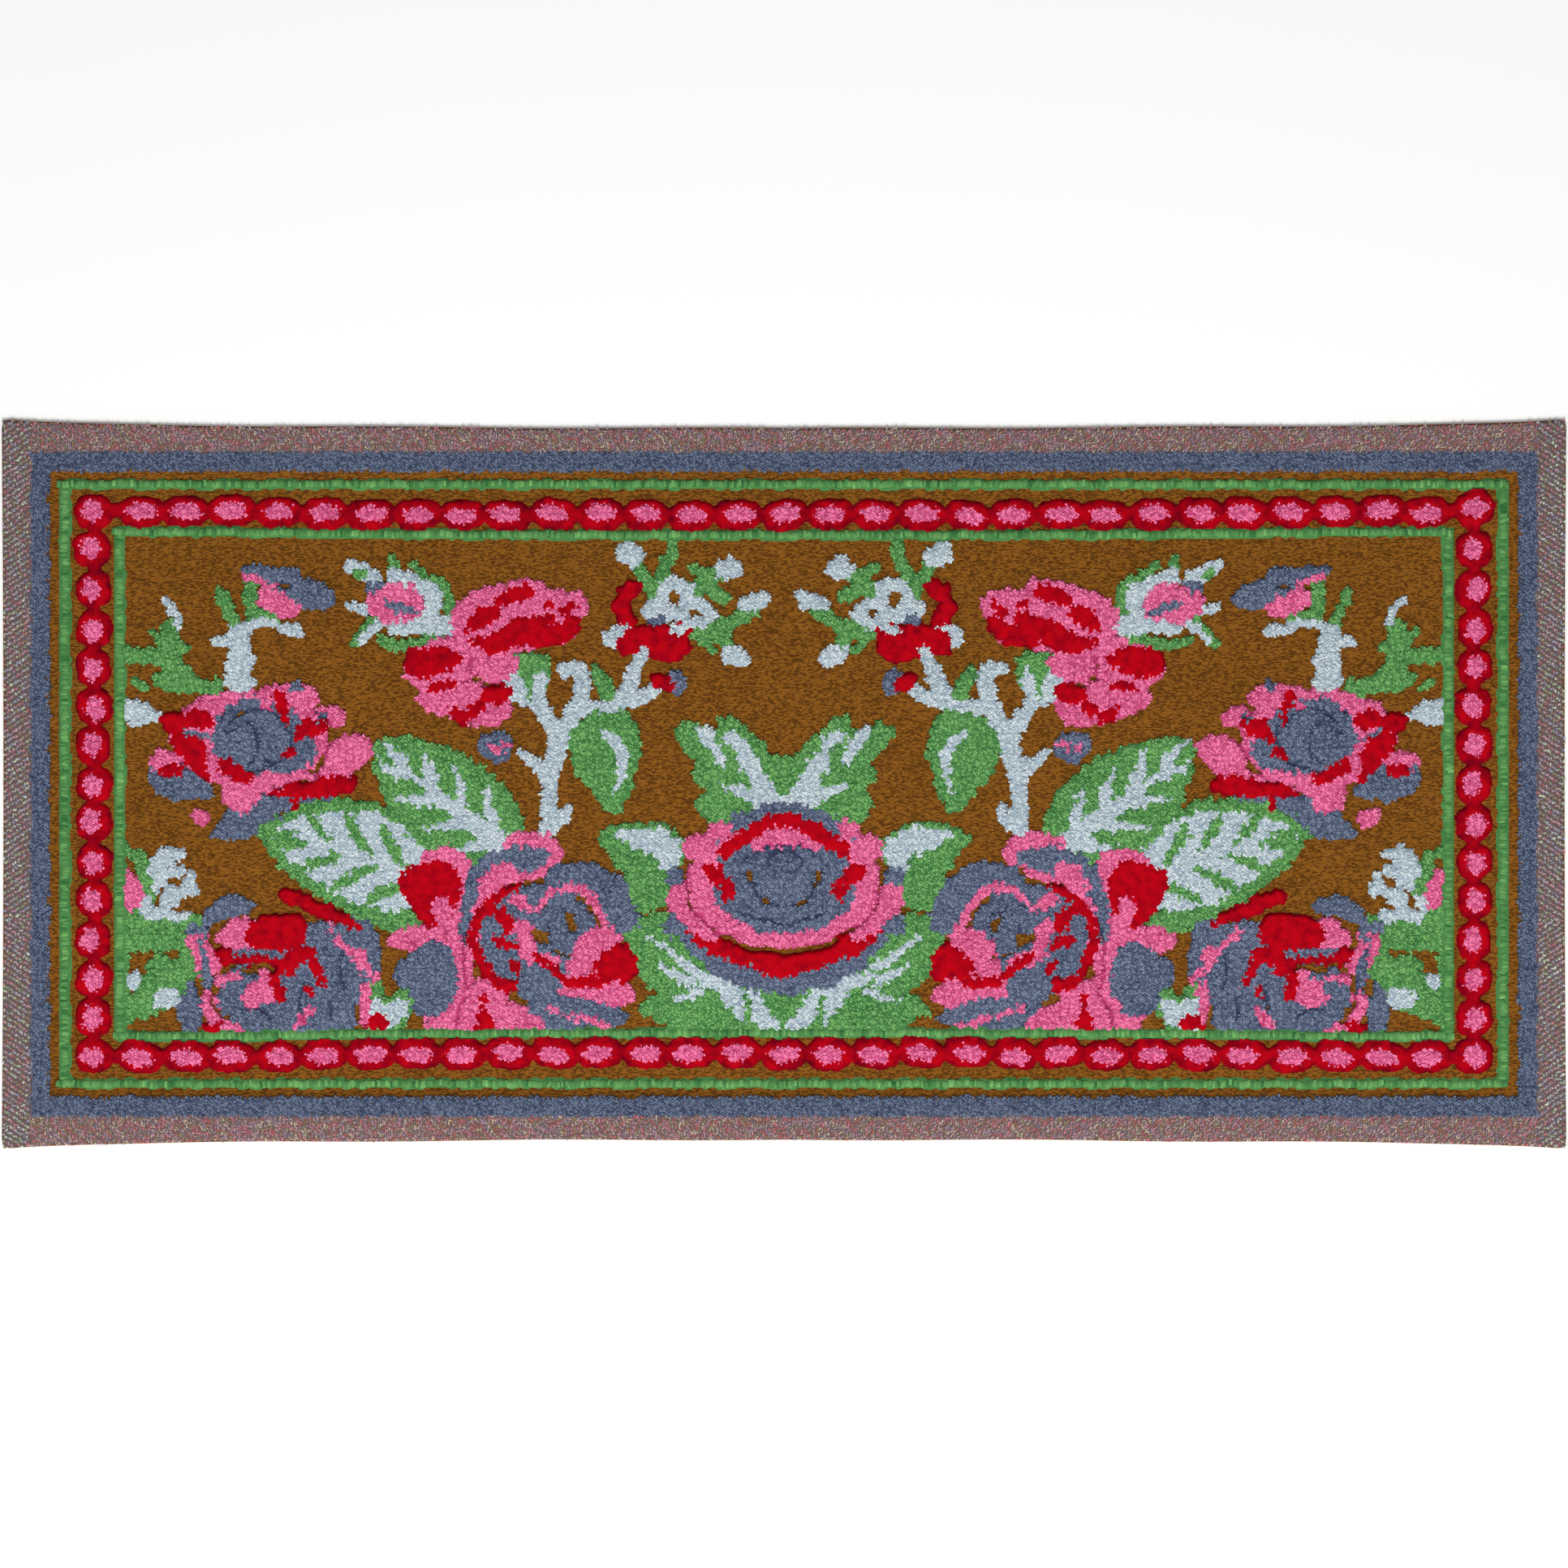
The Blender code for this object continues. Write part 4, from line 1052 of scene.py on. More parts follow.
def copies(model, chosen, length, width, rise, root_shade=ROOT_SHADE):
    """Points, faces and tones of one copy of the model for each chosen loop."""
    shape = model.points
    back = shape[:, 2] > 0.5
    cos, sin = np.cos(chosen.turn)[:, None], np.sin(chosen.turn)[:, None]
    along = shape[None, :, 0] * length[:, None] / 2
    across = shape[None, :, 1] * width[:, None] / 2
    lean = np.where(back, 1.0, FOOT_LEAN)[None]
    points = np.empty((len(chosen.x), len(shape), 3))
    points[..., 0] = chosen.x[:, None] + along * cos - across * sin + chosen.lean_x[:, None] * lean
    points[..., 1] = chosen.y[:, None] + along * sin + across * cos + chosen.lean_y[:, None] * lean
    points[..., 2] = chosen.top[:, None] - (1 - shape[None, :, 2]) * rise
    faces = model.faces[None] + (np.arange(len(chosen.x)) * len(shape))[:, None, None]
    # Painted shade: the points at each loop's foot are drawn towards the darker root colour
    tones = chosen.tone[:, None] + np.where(back, 0.0, root_shade)[None]
    return points.reshape(-1, 3), faces.reshape(-1, model.faces.shape[1]), tones.ravel()


# Mat under the loops: its cells, depth below the loops' backs, how much deeper it runs under other yarn,
# distance from the rug's edge, tone, which is painted shade, and the cover of the pile where it begins and
# over which it rises
BED_STEP = 2.4
BED_DROP = 2.1
BED_LAP = 0.6
BED_INSET = 1.0
BED_SHADE = -0.75
BED_COVER = 0.45
BED_WIDTH = 0.4


@functools.lru_cache(maxsize=1)
def bed_grid():
    """Places and square cells of a grid over the whole rug."""
    obj, unit = add_grid(round(2 * MAP_HALF_X / BED_STEP), round(2 * MAP_HALF_Y / BED_STEP))
    cells = cells_of(obj.data)
    bpy.data.objects.remove(obj)
    return unit[:, 0] * MAP_HALF_X, unit[:, 1] * MAP_HALF_Y, cells


def bed(yarn, drop):
    """Points, faces and tones of the closed mat that the lower yarn of the loops makes. Its tones are painted
    shade, darker still beside the cracks.
    """
    x, y, cells = bed_grid()
    made = pattern()
    inside = read_map(made.yarn, x, y) == yarn
    kept = cells[inside[cells].any(axis=1)]
    used, corners = np.unique(kept, return_inverse=True)
    corners = corners.reshape(kept.shape)
    x, y, inside = x[used], y[used], inside[used]
    pile = np.clip((read_map(made.pile, x, y) - BED_COVER) / BED_WIDTH, 0, 1)
    crack = read_map(made.crack, x, y)
    top = read_map(made.top, x, y) - drop - np.where(inside, 0.0, BED_LAP) - CRACK_DIP * crack
    z = ROOT + (top - ROOT) * np.sqrt(pile)
    x = np.clip(x, BED_INSET - half_length(y), half_length(y) - BED_INSET)
    y = np.clip(y, BED_INSET - half_depth(x), half_depth(x) - BED_INSET)
    faces = np.concatenate([corners[:, [0, 1, 2]], corners[:, [0, 2, 3]]])
    return np.stack([x, y, z], axis=1), faces, BED_SHADE - CRACK_SHADE * crack


def joined(first, second):
    """Two sets of points, faces and values as one."""
    points, faces, values = (np.concatenate(pair) for pair in zip(first, second))
    faces[len(first[1]):] += len(first[0])
    return points, faces, values


def dress(obj, material, slot_name):
    """Gives a piece its material and body, and hides the imported part that it stands for. The slot name is
    not used.
    """
    obj.data.materials.append(material)
    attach(obj, BODY)
    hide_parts(NODE)


# Materials


def add(tree, kind, inputs=None, **settings):
    """Adds a node with its settings, and sets or links its inputs."""
    node = tree.nodes.new(kind)
    for name, value in settings.items():
        setattr(node, name, value)
    for socket, value in (inputs or {}).items():
        if isinstance(value, bpy.types.NodeSocket):
            tree.links.new(value, node.inputs[socket])
        else:
            node.inputs[socket].default_value = value
    return node


def new_tree(name):
    """An empty material and its node tree."""
    material = bpy.data.materials.new(name)
    material.use_nodes = True
    material.node_tree.nodes.clear()
    return material, material.node_tree


def rgba(colour):
    """A colour with full opacity."""
    return (*tuple(colour)[:3], 1.0)


def per_mm(size):
    """Texture scale, in metres, of a feature of this size in millimetres."""
    return 1 / (size * MM)


# Inputs and output of a colour mix
MIX_FACTOR, MIX_A, MIX_B = 0, 6, 7
MIX_RESULT = 2

# Sizes of what shows in the yarns: plies, sheared ends, brushed patches, woven flecks and rows, and clouds
PLY = 1.0
STRAND_PLY = 0.9
PILE_END = 1.3
BRUSHED_PATCH = 9.0
WOVEN_FLECK = 1.15
FLECK_STRETCH = (0.32, 1.0, 1.0)
WOVEN_ROW = 6.0
YARN_CLOUD = 28.0
GROUND_CLOUD = 60.0
FIBRE_RELIEF = 0.4


def yarn_shader(tree, colour, height, bump, roughness, sheen, specular=0.15):
    """Ends a material in a dull, slightly hairy wool surface."""
    relief = add(tree, "ShaderNodeBump", {"Strength": bump, "Distance": FIBRE_RELIEF * MM, "Height": height})
    shader = add(tree, "ShaderNodeBsdfPrincipled", {
        "Base Color": colour, "Roughness": roughness, "Specular IOR Level": specular, "IOR": 1.45,
        "Sheen Weight": sheen, "Sheen Roughness": 0.5, "Normal": relief.outputs["Normal"],
    })
    add(tree, "ShaderNodeOutputMaterial", {"Surface": shader.outputs["BSDF"]})


def loop_material(name, back, root):
    """Wool loop pile: dull spun yarn, paler on the loops' backs and deeper between them, which is painted
    shade carried by the loops' tones, with fine plies.
    """
    material, tree = new_tree(name)
    place = add(tree, "ShaderNodeTexCoord").outputs["Object"]
    tone = add(tree, "ShaderNodeAttribute", attribute_name="tone").outputs["Fac"]
    cloud = add(tree, "ShaderNodeTexNoise", {"Vector": place, "Scale": per_mm(YARN_CLOUD), "Detail": 1.0})
    plies = add(tree, "ShaderNodeTexNoise", {"Vector": place, "Scale": per_mm(PLY), "Detail": 1.0})
    shade = add(tree, "ShaderNodeMath", {0: cloud.outputs["Fac"], 1: 0.35, 2: 0.53}, operation="MULTIPLY_ADD")
    fine = add(tree, "ShaderNodeMath", {
        0: plies.outputs["Fac"], 1: 0.5, 2: shade.outputs[0]}, operation="MULTIPLY_ADD")
    total = add(tree, "ShaderNodeMath", {0: fine.outputs[0], 1: tone}, operation="ADD", use_clamp=True)
    colour = add(tree, "ShaderNodeMix", {
        MIX_FACTOR: total.outputs[0], MIX_A: rgba(root), MIX_B: rgba(back)}, data_type="RGBA")
    yarn_shader(tree, colour.outputs[MIX_RESULT], plies.outputs["Fac"], 0.5, 0.95, 0.10)
    return material


def cut_pile_material(name, tip, root):
    """Cut wool pile: yarn ends sheared level, so a deep even red with small darker gaps between the tufts, a
    painted shade, and with the painted shade and light of its tone at rims and dome tops.
    """
    material, tree = new_tree(name)
    place = add(tree, "ShaderNodeTexCoord").outputs["Object"]
    tone = add(tree, "ShaderNodeAttribute", attribute_name="tone").outputs["Fac"]
    ends = add(tree, "ShaderNodeTexNoise", {"Vector": place, "Scale": per_mm(PILE_END), "Detail": 1.5})
    brushed = add(tree, "ShaderNodeTexNoise", {
        "Vector": place, "Scale": per_mm(BRUSHED_PATCH), "Detail": 1.0})
    mixed = add(tree, "ShaderNodeMath", {0: ends.outputs["Fac"], 1: 1.0, 2: tone}, operation="MULTIPLY_ADD")
    total = add(tree, "ShaderNodeMath", {
        0: brushed.outputs["Fac"], 1: 1.5, 2: mixed.outputs[0]}, operation="MULTIPLY_ADD", use_clamp=True)
    colour = add(tree, "ShaderNodeMix", {
        MIX_FACTOR: total.outputs[0], MIX_A: rgba(root), MIX_B: rgba(tip)}, data_type="RGBA")
    yarn_shader(tree, colour.outputs[MIX_RESULT], ends.outputs["Fac"], 0.45, 0.9, 0.0, specular=0.03)
    return material


def ground_material(name, base, fleck):
    """Flat weave: fine wool threads in rows across the rug's depth, so short level flecks, a bit uneven."""
    material, tree = new_tree(name)
    place = add(tree, "ShaderNodeTexCoord").outputs["Object"]
    stretched = add(tree, "ShaderNodeMapping", {"Vector": place, "Scale": FLECK_STRETCH})
    flecks = add(tree, "ShaderNodeTexNoise", {
        "Vector": stretched.outputs[0], "Scale": per_mm(WOVEN_FLECK), "Detail": 1.5})
    rows = add(tree, "ShaderNodeTexWave", {
        "Vector": place, "Scale": per_mm(WOVEN_ROW), "Distortion": 2.2, "Detail": 1.0, "Detail Scale": 3.0},
        bands_direction="Y")
    cloud = add(tree, "ShaderNodeTexNoise", {"Vector": place, "Scale": per_mm(GROUND_CLOUD), "Detail": 1.0})
    strong = add(tree, "ShaderNodeMath", {
        0: flecks.outputs["Fac"], 1: 9.6, 2: -4.45}, operation="MULTIPLY_ADD")
    total = add(tree, "ShaderNodeMath", {
        0: cloud.outputs["Fac"], 1: 0.4, 2: strong.outputs[0]}, operation="MULTIPLY_ADD", use_clamp=True)
    colour = add(tree, "ShaderNodeMix", {
        MIX_FACTOR: total.outputs[0], MIX_A: rgba(base), MIX_B: rgba(fleck)}, data_type="RGBA")
    height = add(tree, "ShaderNodeMath", {
        0: rows.outputs["Fac"], 1: 0.5, 2: flecks.outputs["Fac"]}, operation="MULTIPLY_ADD")
    yarn_shader(tree, colour.outputs[MIX_RESULT], height.outputs[0], 0.6, 0.95, 0.03)
    return material


def mixed_material(name):
    """Mixed yarn: strands of many dyed wools laid side by side, each its own colour, rubbed dull by wear."""
    material, tree = new_tree(name)
    place = add(tree, "ShaderNodeTexCoord").outputs["Object"]
    dyed = add(tree, "ShaderNodeAttribute", attribute_name="yarn_colour").outputs["Color"]
    plies = add(tree, "ShaderNodeTexNoise", {"Vector": place, "Scale": per_mm(STRAND_PLY), "Detail": 1.0})
    shade = add(tree, "ShaderNodeMath", {0: plies.outputs["Fac"], 1: 0.6, 2: 0.7}, operation="MULTIPLY_ADD")
    colour = add(tree, "ShaderNodeHueSaturation", {"Color": dyed, "Value": shade.outputs[0]})
    yarn_shader(tree, colour.outputs["Color"], plies.outputs["Fac"], 0.5, 0.95, 0.08)
    return material


# Ground

INNER_GRID_X = 90
INNER_GRID_Y = 40
BAND_ROWS = 6
BAND_START = 1.5
RIM_DIP = 1.2
AT_RIM = 0.99


def grid_lines(inner, outer, cells):
    """Positions of a grid's lines: even inside, and close together under the border's pile."""
    border = np.linspace(outer, inner + BAND_START, BAND_ROWS)
    return np.concatenate([-border, np.linspace(-inner, inner, cells + 1), border[::-1]])


def build_ground():
    """The flat weave as one closed sheet, thicker under the border's pile."""
    columns = grid_lines(SLATE_BAND.inner_x, HALF_LENGTH, INNER_GRID_X)
    rows = grid_lines(SLATE_BAND.inner_y, WAIST_HALF_DEPTH + CORNER_GAIN, INNER_GRID_Y)
    obj, unit = add_grid(len(columns) - 1, len(rows) - 1)
    obj.name = obj.data.name = "ground_weave"
    x = columns[np.rint((unit[:, 0] + 1) / 2 * (len(columns) - 1)).astype(int)]
    y = rows[np.rint((unit[:, 1] + 1) / 2 * (len(rows) - 1)).astype(int)]
    beyond_x = np.clip((np.abs(x) - SLATE_BAND.inner_x) / (HALF_LENGTH - SLATE_BAND.inner_x), 0, 1)
    beyond_y = np.clip((np.abs(y) - SLATE_BAND.inner_y) / (rows[-1] - SLATE_BAND.inner_y), 0, 1)
    corner = (beyond_x > AT_RIM) & (beyond_y > AT_RIM)
    fitted_x = x - np.sign(x) * beyond_x * (HALF_LENGTH - half_length(y)) - np.sign(x) * corner * CORNER_CUT
    fitted_y = y - np.sign(y) * beyond_y * (rows[-1] - half_depth(x)) - np.sign(y) * corner * CORNER_CUT
    bedded = (beyond_x > 0) | (beyond_y > 0)
    rim = (beyond_x > AT_RIM) | (beyond_y > AT_RIM)
    move_points(obj.data, fitted_x, fitted_y, np.where(bedded, BED_TOP, GROUND_TOP) - rim * RIM_DIP)
    solidify = obj.modifiers.new("Thickness", "SOLIDIFY")
    solidify.thickness = GROUND_TOP * MM
    solidify.offset = -1
    bpy.ops.object.modifier_apply(modifier=solidify.name)
    for vertex in obj.data.vertices[len(unit):]:
        vertex.co.z = 0.0
    obj.data.shade_smooth()
    return obj


# Mixed band: slanting wales at the rug's ends, with their spacing, and a nap along its sides
WALE = 4.8
WALE_TURN = 0.58
WALE_FOLD = -130.0
END_STRAND_TURN = -0.85
END_TURN_JITTER = 0.25
SIDE_ROWS_TURN = -0.75
SIDE_STRAND_TURN = 0.95
SIDE_TURN_JITTER = 0.45

# Spacing of the strands as shares of their length and width
STRAND_GAPS = (0.55, 0.85)
END_JITTER = 0.20
SIDE_JITTER = 0.3

# Strands' distance from the rug's edge, how they round over towards it, and how they differ in height
STRAND_INSET = 0.9
EDGE_DROP = 0.9
EDGE_ROUND = 3.0
STRAND_TOPS = (-0.55, 0.15)
STRAND_LEAN_JITTER = 0.3
STRAND_RISE = 1.6
END_SHORTER = 0.95

# The mat under the mixed strands, painted in a dark colour as the shade in the gaps between them
MAT_CODE = "5f4f50"
MAT_DROP = 1.0

# Dyed wools of the mixed band, each with its share of the strands, and how the sides and the ends differ
Dye = namedtuple("Dye", "code share")
DYES = [
    Dye("8f889f", 0.14), Dye("ae9ca6", 0.17), Dye("bd8592", 0.16), Dye("b0636a", 0.12), Dye("96785f", 0.14),
    Dye("93997f", 0.15), Dye("c6c0ae", 0.12),
]
SIDE_TINT = (0.94, 0.79, 0.74)
END_TINT = (0.99, 1.20, 1.13)
DYE_DRAW = 0.42
DYE_DRIFT = 0.5
DYE_FADING = 0.09


def at_side(x):
    """True where the mixed band runs along a long side."""
    return np.abs(x) < SLATE_BAND.outer_x


def wale_way(x, y):
    """1 where the wales climb to the right, -1 where they fall: they point to the corners at both ends."""
    return -np.sign(x) * np.where(y > WALE_FOLD, 1, -1)


def mixed_strands():
    """Places of the mixed band's strands: in slanting wales at the ends, brushed along the long sides."""
    sizes = bpy.context.scene.rug_sizes
    gap, thin = sizes.strand_length / MM * STRAND_GAPS[0], sizes.strand_width / MM * STRAND_GAPS[1]
    side_x, side_y = lattice(gap, thin, SIDE_JITTER, SIDE_ROWS_TURN, SIDE_SEED)
    groups = [(side_x, side_y, at_side(side_x))]
    for way in (-1, 1):
        end_x, end_y = lattice(thin, WALE, END_JITTER, way * WALE_TURN, WALE_SEED)
        groups.append((end_x, end_y, ~at_side(end_x) & (wale_way(end_x, end_y) == way)))
    x = np.concatenate([group_x[held] for group_x, _, held in groups])
    y = np.concatenate([group_y[held] for _, group_y, held in groups])
    inside = np.minimum(half_length(y) - np.abs(x), half_depth(x) - np.abs(y))
    keep = (read_map(pattern().yarn, x, y) == MIXED) & (inside > STRAND_INSET)
    x, y, inside = x[keep], y[keep], inside[keep]
    rng = np.random.default_rng(STRAND_SEED)
    side = at_side(x)
    turn = np.where(side, SIDE_STRAND_TURN * np.sign(x), END_STRAND_TURN * wale_way(x, y))
    turn = turn + rng.normal(0, np.where(side, SIDE_TURN_JITTER, END_TURN_JITTER))
    rounded = EDGE_DROP * np.clip(1 - inside / EDGE_ROUND, 0, 1)
    top = MIXED_TOP - rounded + rng.uniform(*STRAND_TOPS, x.shape)
    lean_x, lean_y = rng.normal(0, STRAND_LEAN_JITTER, (2, len(x)))
    return Loops(x, y, top, turn, lean_x, lean_y, np.zeros_like(x)), dyed(x, y, rng)


def dyed(x, y, rng):
    """A colour for each strand: the dyes come in small drifts, as plies of one yarn do."""
    codes = np.array([linear(d.code) for d in DYES])
    edges = np.cumsum([d.share for d in DYES])
    drift = np.sin(x / 5.1 + 2.0 * np.sin(y / 7.7)) + np.sin(y / 6.3 + 2.0 * np.sin(x / 9.1))
    draw = rng.uniform(0, 1, x.shape)
    draw = (draw * DYE_DRAW + DYE_DRIFT * drift) % 1.0
    chosen = np.clip(np.searchsorted(edges, draw * edges[-1]), 0, len(DYES) - 1)
    bright = rng.normal(1.0, DYE_FADING, x.shape).clip(0.6, 1.4)
    tint = np.where(at_side(x)[:, None], SIDE_TINT, END_TINT)
    return codes[chosen] * tint * bright[:, None]


def build_mixed_band():
    """The mixed band: slanted strands on a mat, one mesh."""
    sizes = bpy.context.scene.rug_sizes
    strands, colours = mixed_strands()
    length = sizes.strand_length / MM * np.where(at_side(strands.x), 1.0, END_SHORTER)
    width = np.full(len(strands.x), sizes.strand_width / MM)
    points, faces, _ = copies(loop_model(), strands, length, width, STRAND_RISE)
    colours = np.repeat(colours, len(loop_model().points), axis=0)
    mat_points, mat_faces, mat_tones = bed(MIXED, MAT_DROP)
    # Painted shade: the mat between the strands takes the dark mat colour
    mat_colours = np.tile(linear(MAT_CODE), (len(mat_tones), 1))
    points, faces, colours = joined((points, faces, colours), (mat_points, mat_faces, mat_colours))
    obj = mesh_piece("mixed_band", points, faces)
    add_layer(obj.data, "yarn_colour", np.pad(colours, ((0, 0), (0, 1)), constant_values=1))
    return obj


# Loop pile, one piece for each yarn and place
LoopPiece = namedtuple("LoopPiece", "name yarn slot")
LOOP_PIECES = [
    LoopPiece("green_leaf_loops", GREEN, "green_yarn"),
    LoopPiece("green_line_loops", LINE_GREEN, "green_yarn"),
    LoopPiece("white_loops", WHITE, "white_yarn"),
    LoopPiece("pink_loops", PINK, "pink_yarn"),
    LoopPiece("slate_flower_loops", SLATE, "slate_yarn"),
    LoopPiece("slate_band_loops", BAND_SLATE, "slate_yarn"),
]
LOOP_SIZES = (0.86, 1.14)


def build_loops(piece):
    """All loops of one yarn and the mat that they stand on, as one mesh."""
    sizes = bpy.context.scene.rug_sizes
    every = loops()
    rng = np.random.default_rng(SIZE_SEED + piece.yarn)
    chosen = Loops(*(field[every.yarn == piece.yarn] for field in every))
    count = len(chosen.x)
    in_line = piece.yarn == LINE_GREEN
    length = (sizes.line_length if in_line else sizes.loop_length) / MM * rng.uniform(*LOOP_SIZES, count)
    width = (sizes.line_width if in_line else sizes.loop_width) / MM * rng.uniform(*LOOP_SIZES, count)
    root_shade = LINE_ROOT_SHADE if in_line else ROOT_SHADE
    standing = copies(loop_model(), chosen, length, width, sizes.loop_rise / MM, root_shade)
    points, faces, tones = joined(standing, bed(piece.yarn, BED_DROP))
    obj = mesh_piece(piece.name, points, faces)
    add_layer(obj.data, "tone", tones)
    return obj


# Cut pile: reach beyond the beads' row, drop of its sheared top, nap, foot, and dip beside other yarn
CUT_REACH = 24
CUT_DROP = 0.5
CUT_NAP = 0.25
CUT_FOOT = 0.3
CUT_LAP = 1.6

# Rounding of its rim: cover of the pile where it begins, how ragged that is, its width and roundness
CUT_COVER = 0.24
CUT_RAGGED = 0.06
CUT_WIDTH = 0.5
CUT_ROUND = 0.6

# Share of red below which no cut pile stands, and cover of the pile from which it dips beside other yarn
CUT_EDGE = 0.22
CUT_FULL = 0.8

# Tone of the cut pile at its rim, a painted shade, what its middle adds, and what the painted light on the
# domes' high tops adds
CUT_RIM_SHADE = -0.98
CUT_MIDDLE = 0.32
CUT_DOME_LIGHT = 0.33


def build_cut_pile():
    """The red cut pile: a fine grid kept only where the yarn is red, and raised to the pile's height."""
    step = bpy.context.scene.rug_sizes.cut_pile_grid / MM
    made = pattern()
    half_x, half_y = BEAD_ROW_X + CUT_REACH, BEAD_ROW_Y + CUT_REACH
    obj, unit = add_grid(round(2 * half_x / step), round(2 * half_y / step))
    obj.name = obj.data.name = "red_cut_pile"
    mesh = obj.data
    x, y = unit[:, 0] * half_x, unit[:, 1] * half_y
    red = read_map(made.red, x, y)
    pile = read_map(made.pile, x, y)
    nap = CUT_NAP * np.sin(x * 1.7 + 1.3 * np.sin(y * 0.9)) * np.sin(y * 1.5 + 1.1 * np.sin(x * 0.8))
    ragged = CUT_RAGGED * np.sin(x * 1.3 + y * 0.7)
    body = np.clip((pile - CUT_COVER + ragged) / CUT_WIDTH, 0, 1) ** CUT_ROUND
    top = read_map(made.top, x, y) - CUT_DROP + nap
    lap = CUT_LAP * np.clip(1 - red, 0, 1) * (pile > CUT_FULL)
    move_points(mesh, x, y, ROOT + CUT_FOOT + (top - ROOT - CUT_FOOT) * body - lap)
    # Painted light and shade: the rims are drawn towards the darker red and the high tops of the domes are lit
    dome_light = np.clip((top - BEAD_RIM) / (BEAD_TOP - BEAD_RIM), 0, 1)
    add_layer(mesh, "tone", CUT_RIM_SHADE + CUT_MIDDLE * np.clip((pile - 0.4) / 0.6, 0, 1) + CUT_DOME_LIGHT * dome_light)
    beyond = red[cells_of(mesh)].max(axis=1) < CUT_EDGE
    bpy.context.tool_settings.mesh_select_mode = (False, False, True)
    bpy.ops.object.mode_set(mode="EDIT")
    bpy.ops.mesh.select_all(action="DESELECT")
    bpy.ops.object.mode_set(mode="OBJECT")
    mesh.polygons.foreach_set("select", beyond)
    bpy.ops.object.mode_set(mode="EDIT")
    bpy.ops.mesh.delete(type="FACE")
    bpy.ops.object.mode_set(mode="OBJECT")
    mesh.shade_smooth()
    return obj


# Stage

FLOOR_SIZE = 24.0
FLOOR_CODE = "f7f7f6"
KEY_PLACE = (0.0, -3.0, 4.2)
KEY_SIZE = 2.4
VIEW_END = 50


def build_floor():
    """A plain pale floor, as of matt paper."""
    deselect()
    bpy.ops.mesh.primitive_plane_add(size=FLOOR_SIZE)
    floor = bpy.context.object
    floor.name = "floor"
    material, tree = new_tree("matt white paper")
    shader = add(tree, "ShaderNodeBsdfPrincipled", {
        "Base Color": rgba(linear(FLOOR_CODE)), "Roughness": 0.9, "Specular IOR Level": 0.1})
    add(tree, "ShaderNodeOutputMaterial", {"Surface": shader.outputs["BSDF"]})
    floor.data.materials.append(material)


def build_lights(stage):
    """A large soft light from the near long side, and even light from all round."""
    deselect()
    bpy.ops.object.light_add(type="AREA", location=KEY_PLACE)
    key = bpy.context.object
    key.name = "key_light"
    key.data.energy = stage.key_power
    key.data.size = KEY_SIZE
    key.rotation_euler = (-Vector(KEY_PLACE)).to_track_quat("-Z", "Y").to_euler()
    world = bpy.data.worlds.new("soft room")
    bpy.context.scene.world = world
    world.use_nodes = True
    world.node_tree.nodes.clear()
    back = add(world.node_tree, "ShaderNodeBackground", {"Color": (1, 1, 1, 1), "Strength": stage.sky})
    add(world.node_tree, "ShaderNodeOutputWorld", {"Surface": back.outputs["Background"]})


def build_camera(stage):
    """A camera straight above the middle, as the photograph was taken."""
    deselect()
    bpy.ops.object.camera_add(location=(0, 0, stage.camera_height), rotation=(0, 0, 0))
    camera = bpy.context.object
    camera.name = "camera"
    camera.data.lens = stage.lens
    camera.data.clip_end = VIEW_END
    bpy.context.scene.camera = camera


# Operators

# Each loop yarn's material, and the name of its colour in RugColours
LOOP_YARNS = {
    GREEN: ("green wool loops", "green"),
    WHITE: ("white wool loops", "white"),
    PINK: ("pink wool loops", "pink"),
    SLATE: ("slate wool loops", "slate"),
    BAND_SLATE: ("brushed slate wool loops", "band_slate"),
}


class RUG_OT_ground(bpy.types.Operator):
    """Make the flat woven ground"""

    bl_idname = "rug.ground"
    bl_label = "Woven ground"

    def execute(self, context):
        colours = context.scene.rug_colours
        material = ground_material("flat woven wool", colours.ground, colours.ground_fleck)
        dress(build_ground(), material, "ground_weave")
        return {"FINISHED"}


class RUG_OT_loops(bpy.types.Operator):
    """Make the loop pile, one piece for each yarn"""

    bl_idname = "rug.loops"
    bl_label = "Loop pile"

    def execute(self, context):
        colours = context.scene.rug_colours
        materials = {}
        for yarn, (name, colour) in LOOP_YARNS.items():
            root = getattr(colours, colour + "_root")
            materials[yarn] = loop_material(name, getattr(colours, colour), root)
        materials[LINE_GREEN] = materials[GREEN]
        for piece in LOOP_PIECES:
            dress(build_loops(piece), materials[piece.yarn], piece.slot)
        return {"FINISHED"}


class RUG_OT_cut_pile(bpy.types.Operator):
    """Make the red cut pile"""

    bl_idname = "rug.cut_pile"
    bl_label = "Cut pile"

    def execute(self, context):
        colours = context.scene.rug_colours
        material = cut_pile_material("red cut wool pile", colours.red, colours.red_root)
        dress(build_cut_pile(), material, "red_pile")
        return {"FINISHED"}


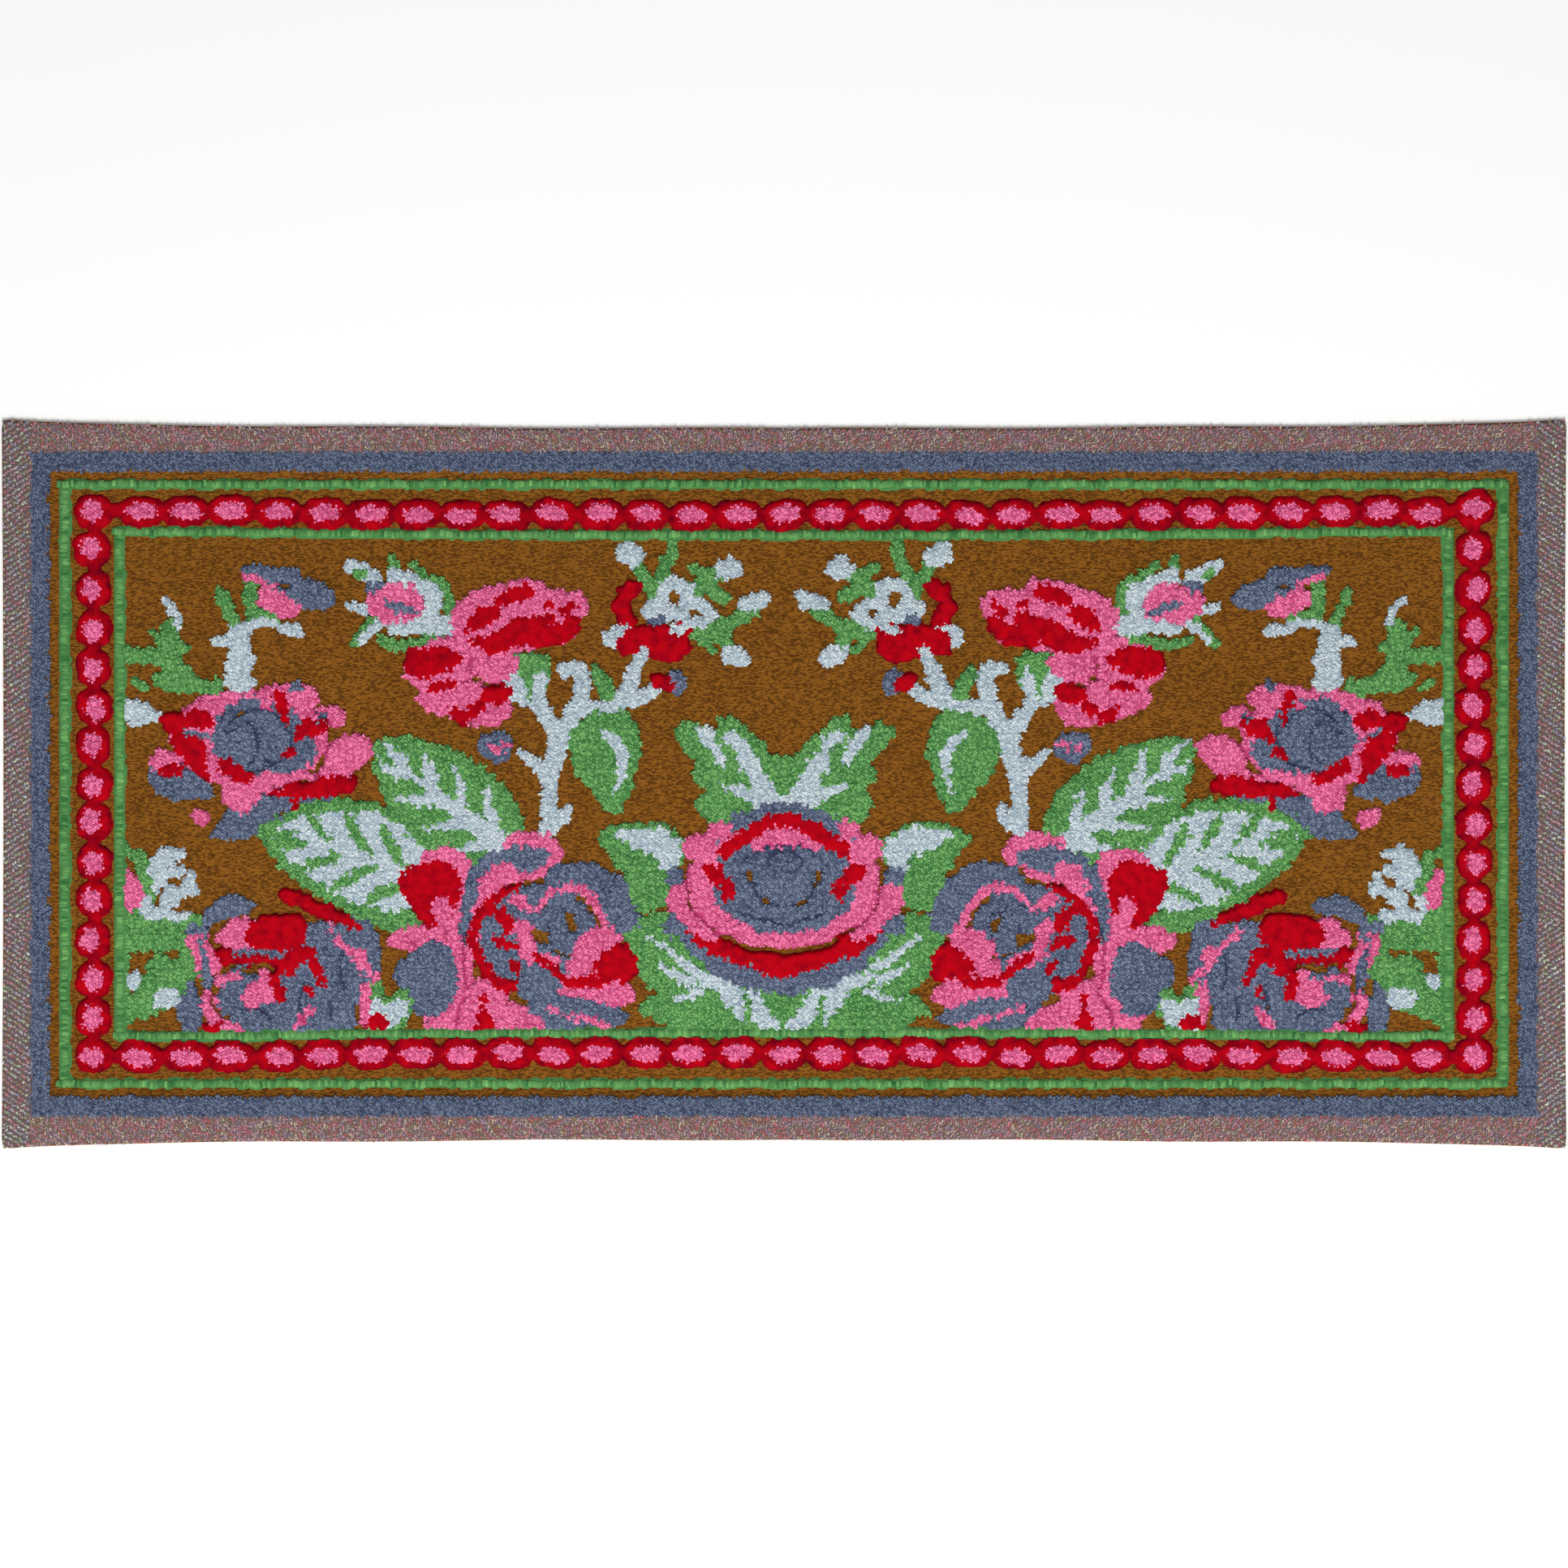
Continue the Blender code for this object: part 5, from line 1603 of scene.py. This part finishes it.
class RUG_OT_mixed_band(bpy.types.Operator):
    """Make the outer band of mixed yarn"""

    bl_idname = "rug.mixed_band"
    bl_label = "Mixed band"

    def execute(self, context):
        dress(build_mixed_band(), mixed_material("mixed dyed wool strands"), "mixed_yarn")
        return {"FINISHED"}


class RUG_OT_stage(bpy.types.Operator):
    """Make the floor, the lights and the camera"""

    bl_idname = "rug.stage"
    bl_label = "Floor, light and camera"

    def execute(self, context):
        stage = context.scene.rug_stage
        build_floor()
        build_lights(stage)
        build_camera(stage)
        context.scene.view_settings.view_transform = "Standard"
        return {"FINISHED"}


class RUG_PT_panel(bpy.types.Panel):
    """Lists the rug's pieces and settings"""

    bl_label = "Rose pile rug"
    bl_idname = "RUG_PT_panel"
    bl_space_type = "VIEW_3D"
    bl_region_type = "UI"
    bl_category = "Rug"

    def draw(self, context):
        for operator in OPERATORS:
            self.layout.operator(operator.bl_idname)
        for group in (context.scene.rug_sizes, context.scene.rug_colours, context.scene.rug_stage):
            for name in group.__annotations__:
                self.layout.prop(group, name)


OPERATORS = [RUG_OT_ground, RUG_OT_loops, RUG_OT_cut_pile, RUG_OT_mixed_band, RUG_OT_stage]
CLASSES = [RugSizes, RugColours, RugStage, *OPERATORS, RUG_PT_panel]


def register():
    """Registers the classes and the scene's settings."""
    for made in CLASSES:
        bpy.utils.register_class(made)
    bpy.types.Scene.rug_sizes = bpy.props.PointerProperty(type=RugSizes)
    bpy.types.Scene.rug_colours = bpy.props.PointerProperty(type=RugColours)
    bpy.types.Scene.rug_stage = bpy.props.PointerProperty(type=RugStage)


def unregister():
    """Takes the classes and the settings away again."""
    for name in ("rug_sizes", "rug_colours", "rug_stage"):
        delattr(bpy.types.Scene, name)
    for made in reversed(CLASSES):
        bpy.utils.unregister_class(made)


def main():
    """Makes every piece and the stage."""
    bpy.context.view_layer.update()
    register()
    for operator in OPERATORS:
        group, name = operator.bl_idname.split(".")
        getattr(getattr(bpy.ops, group), name)()


if __name__ == "__main__":
    main()
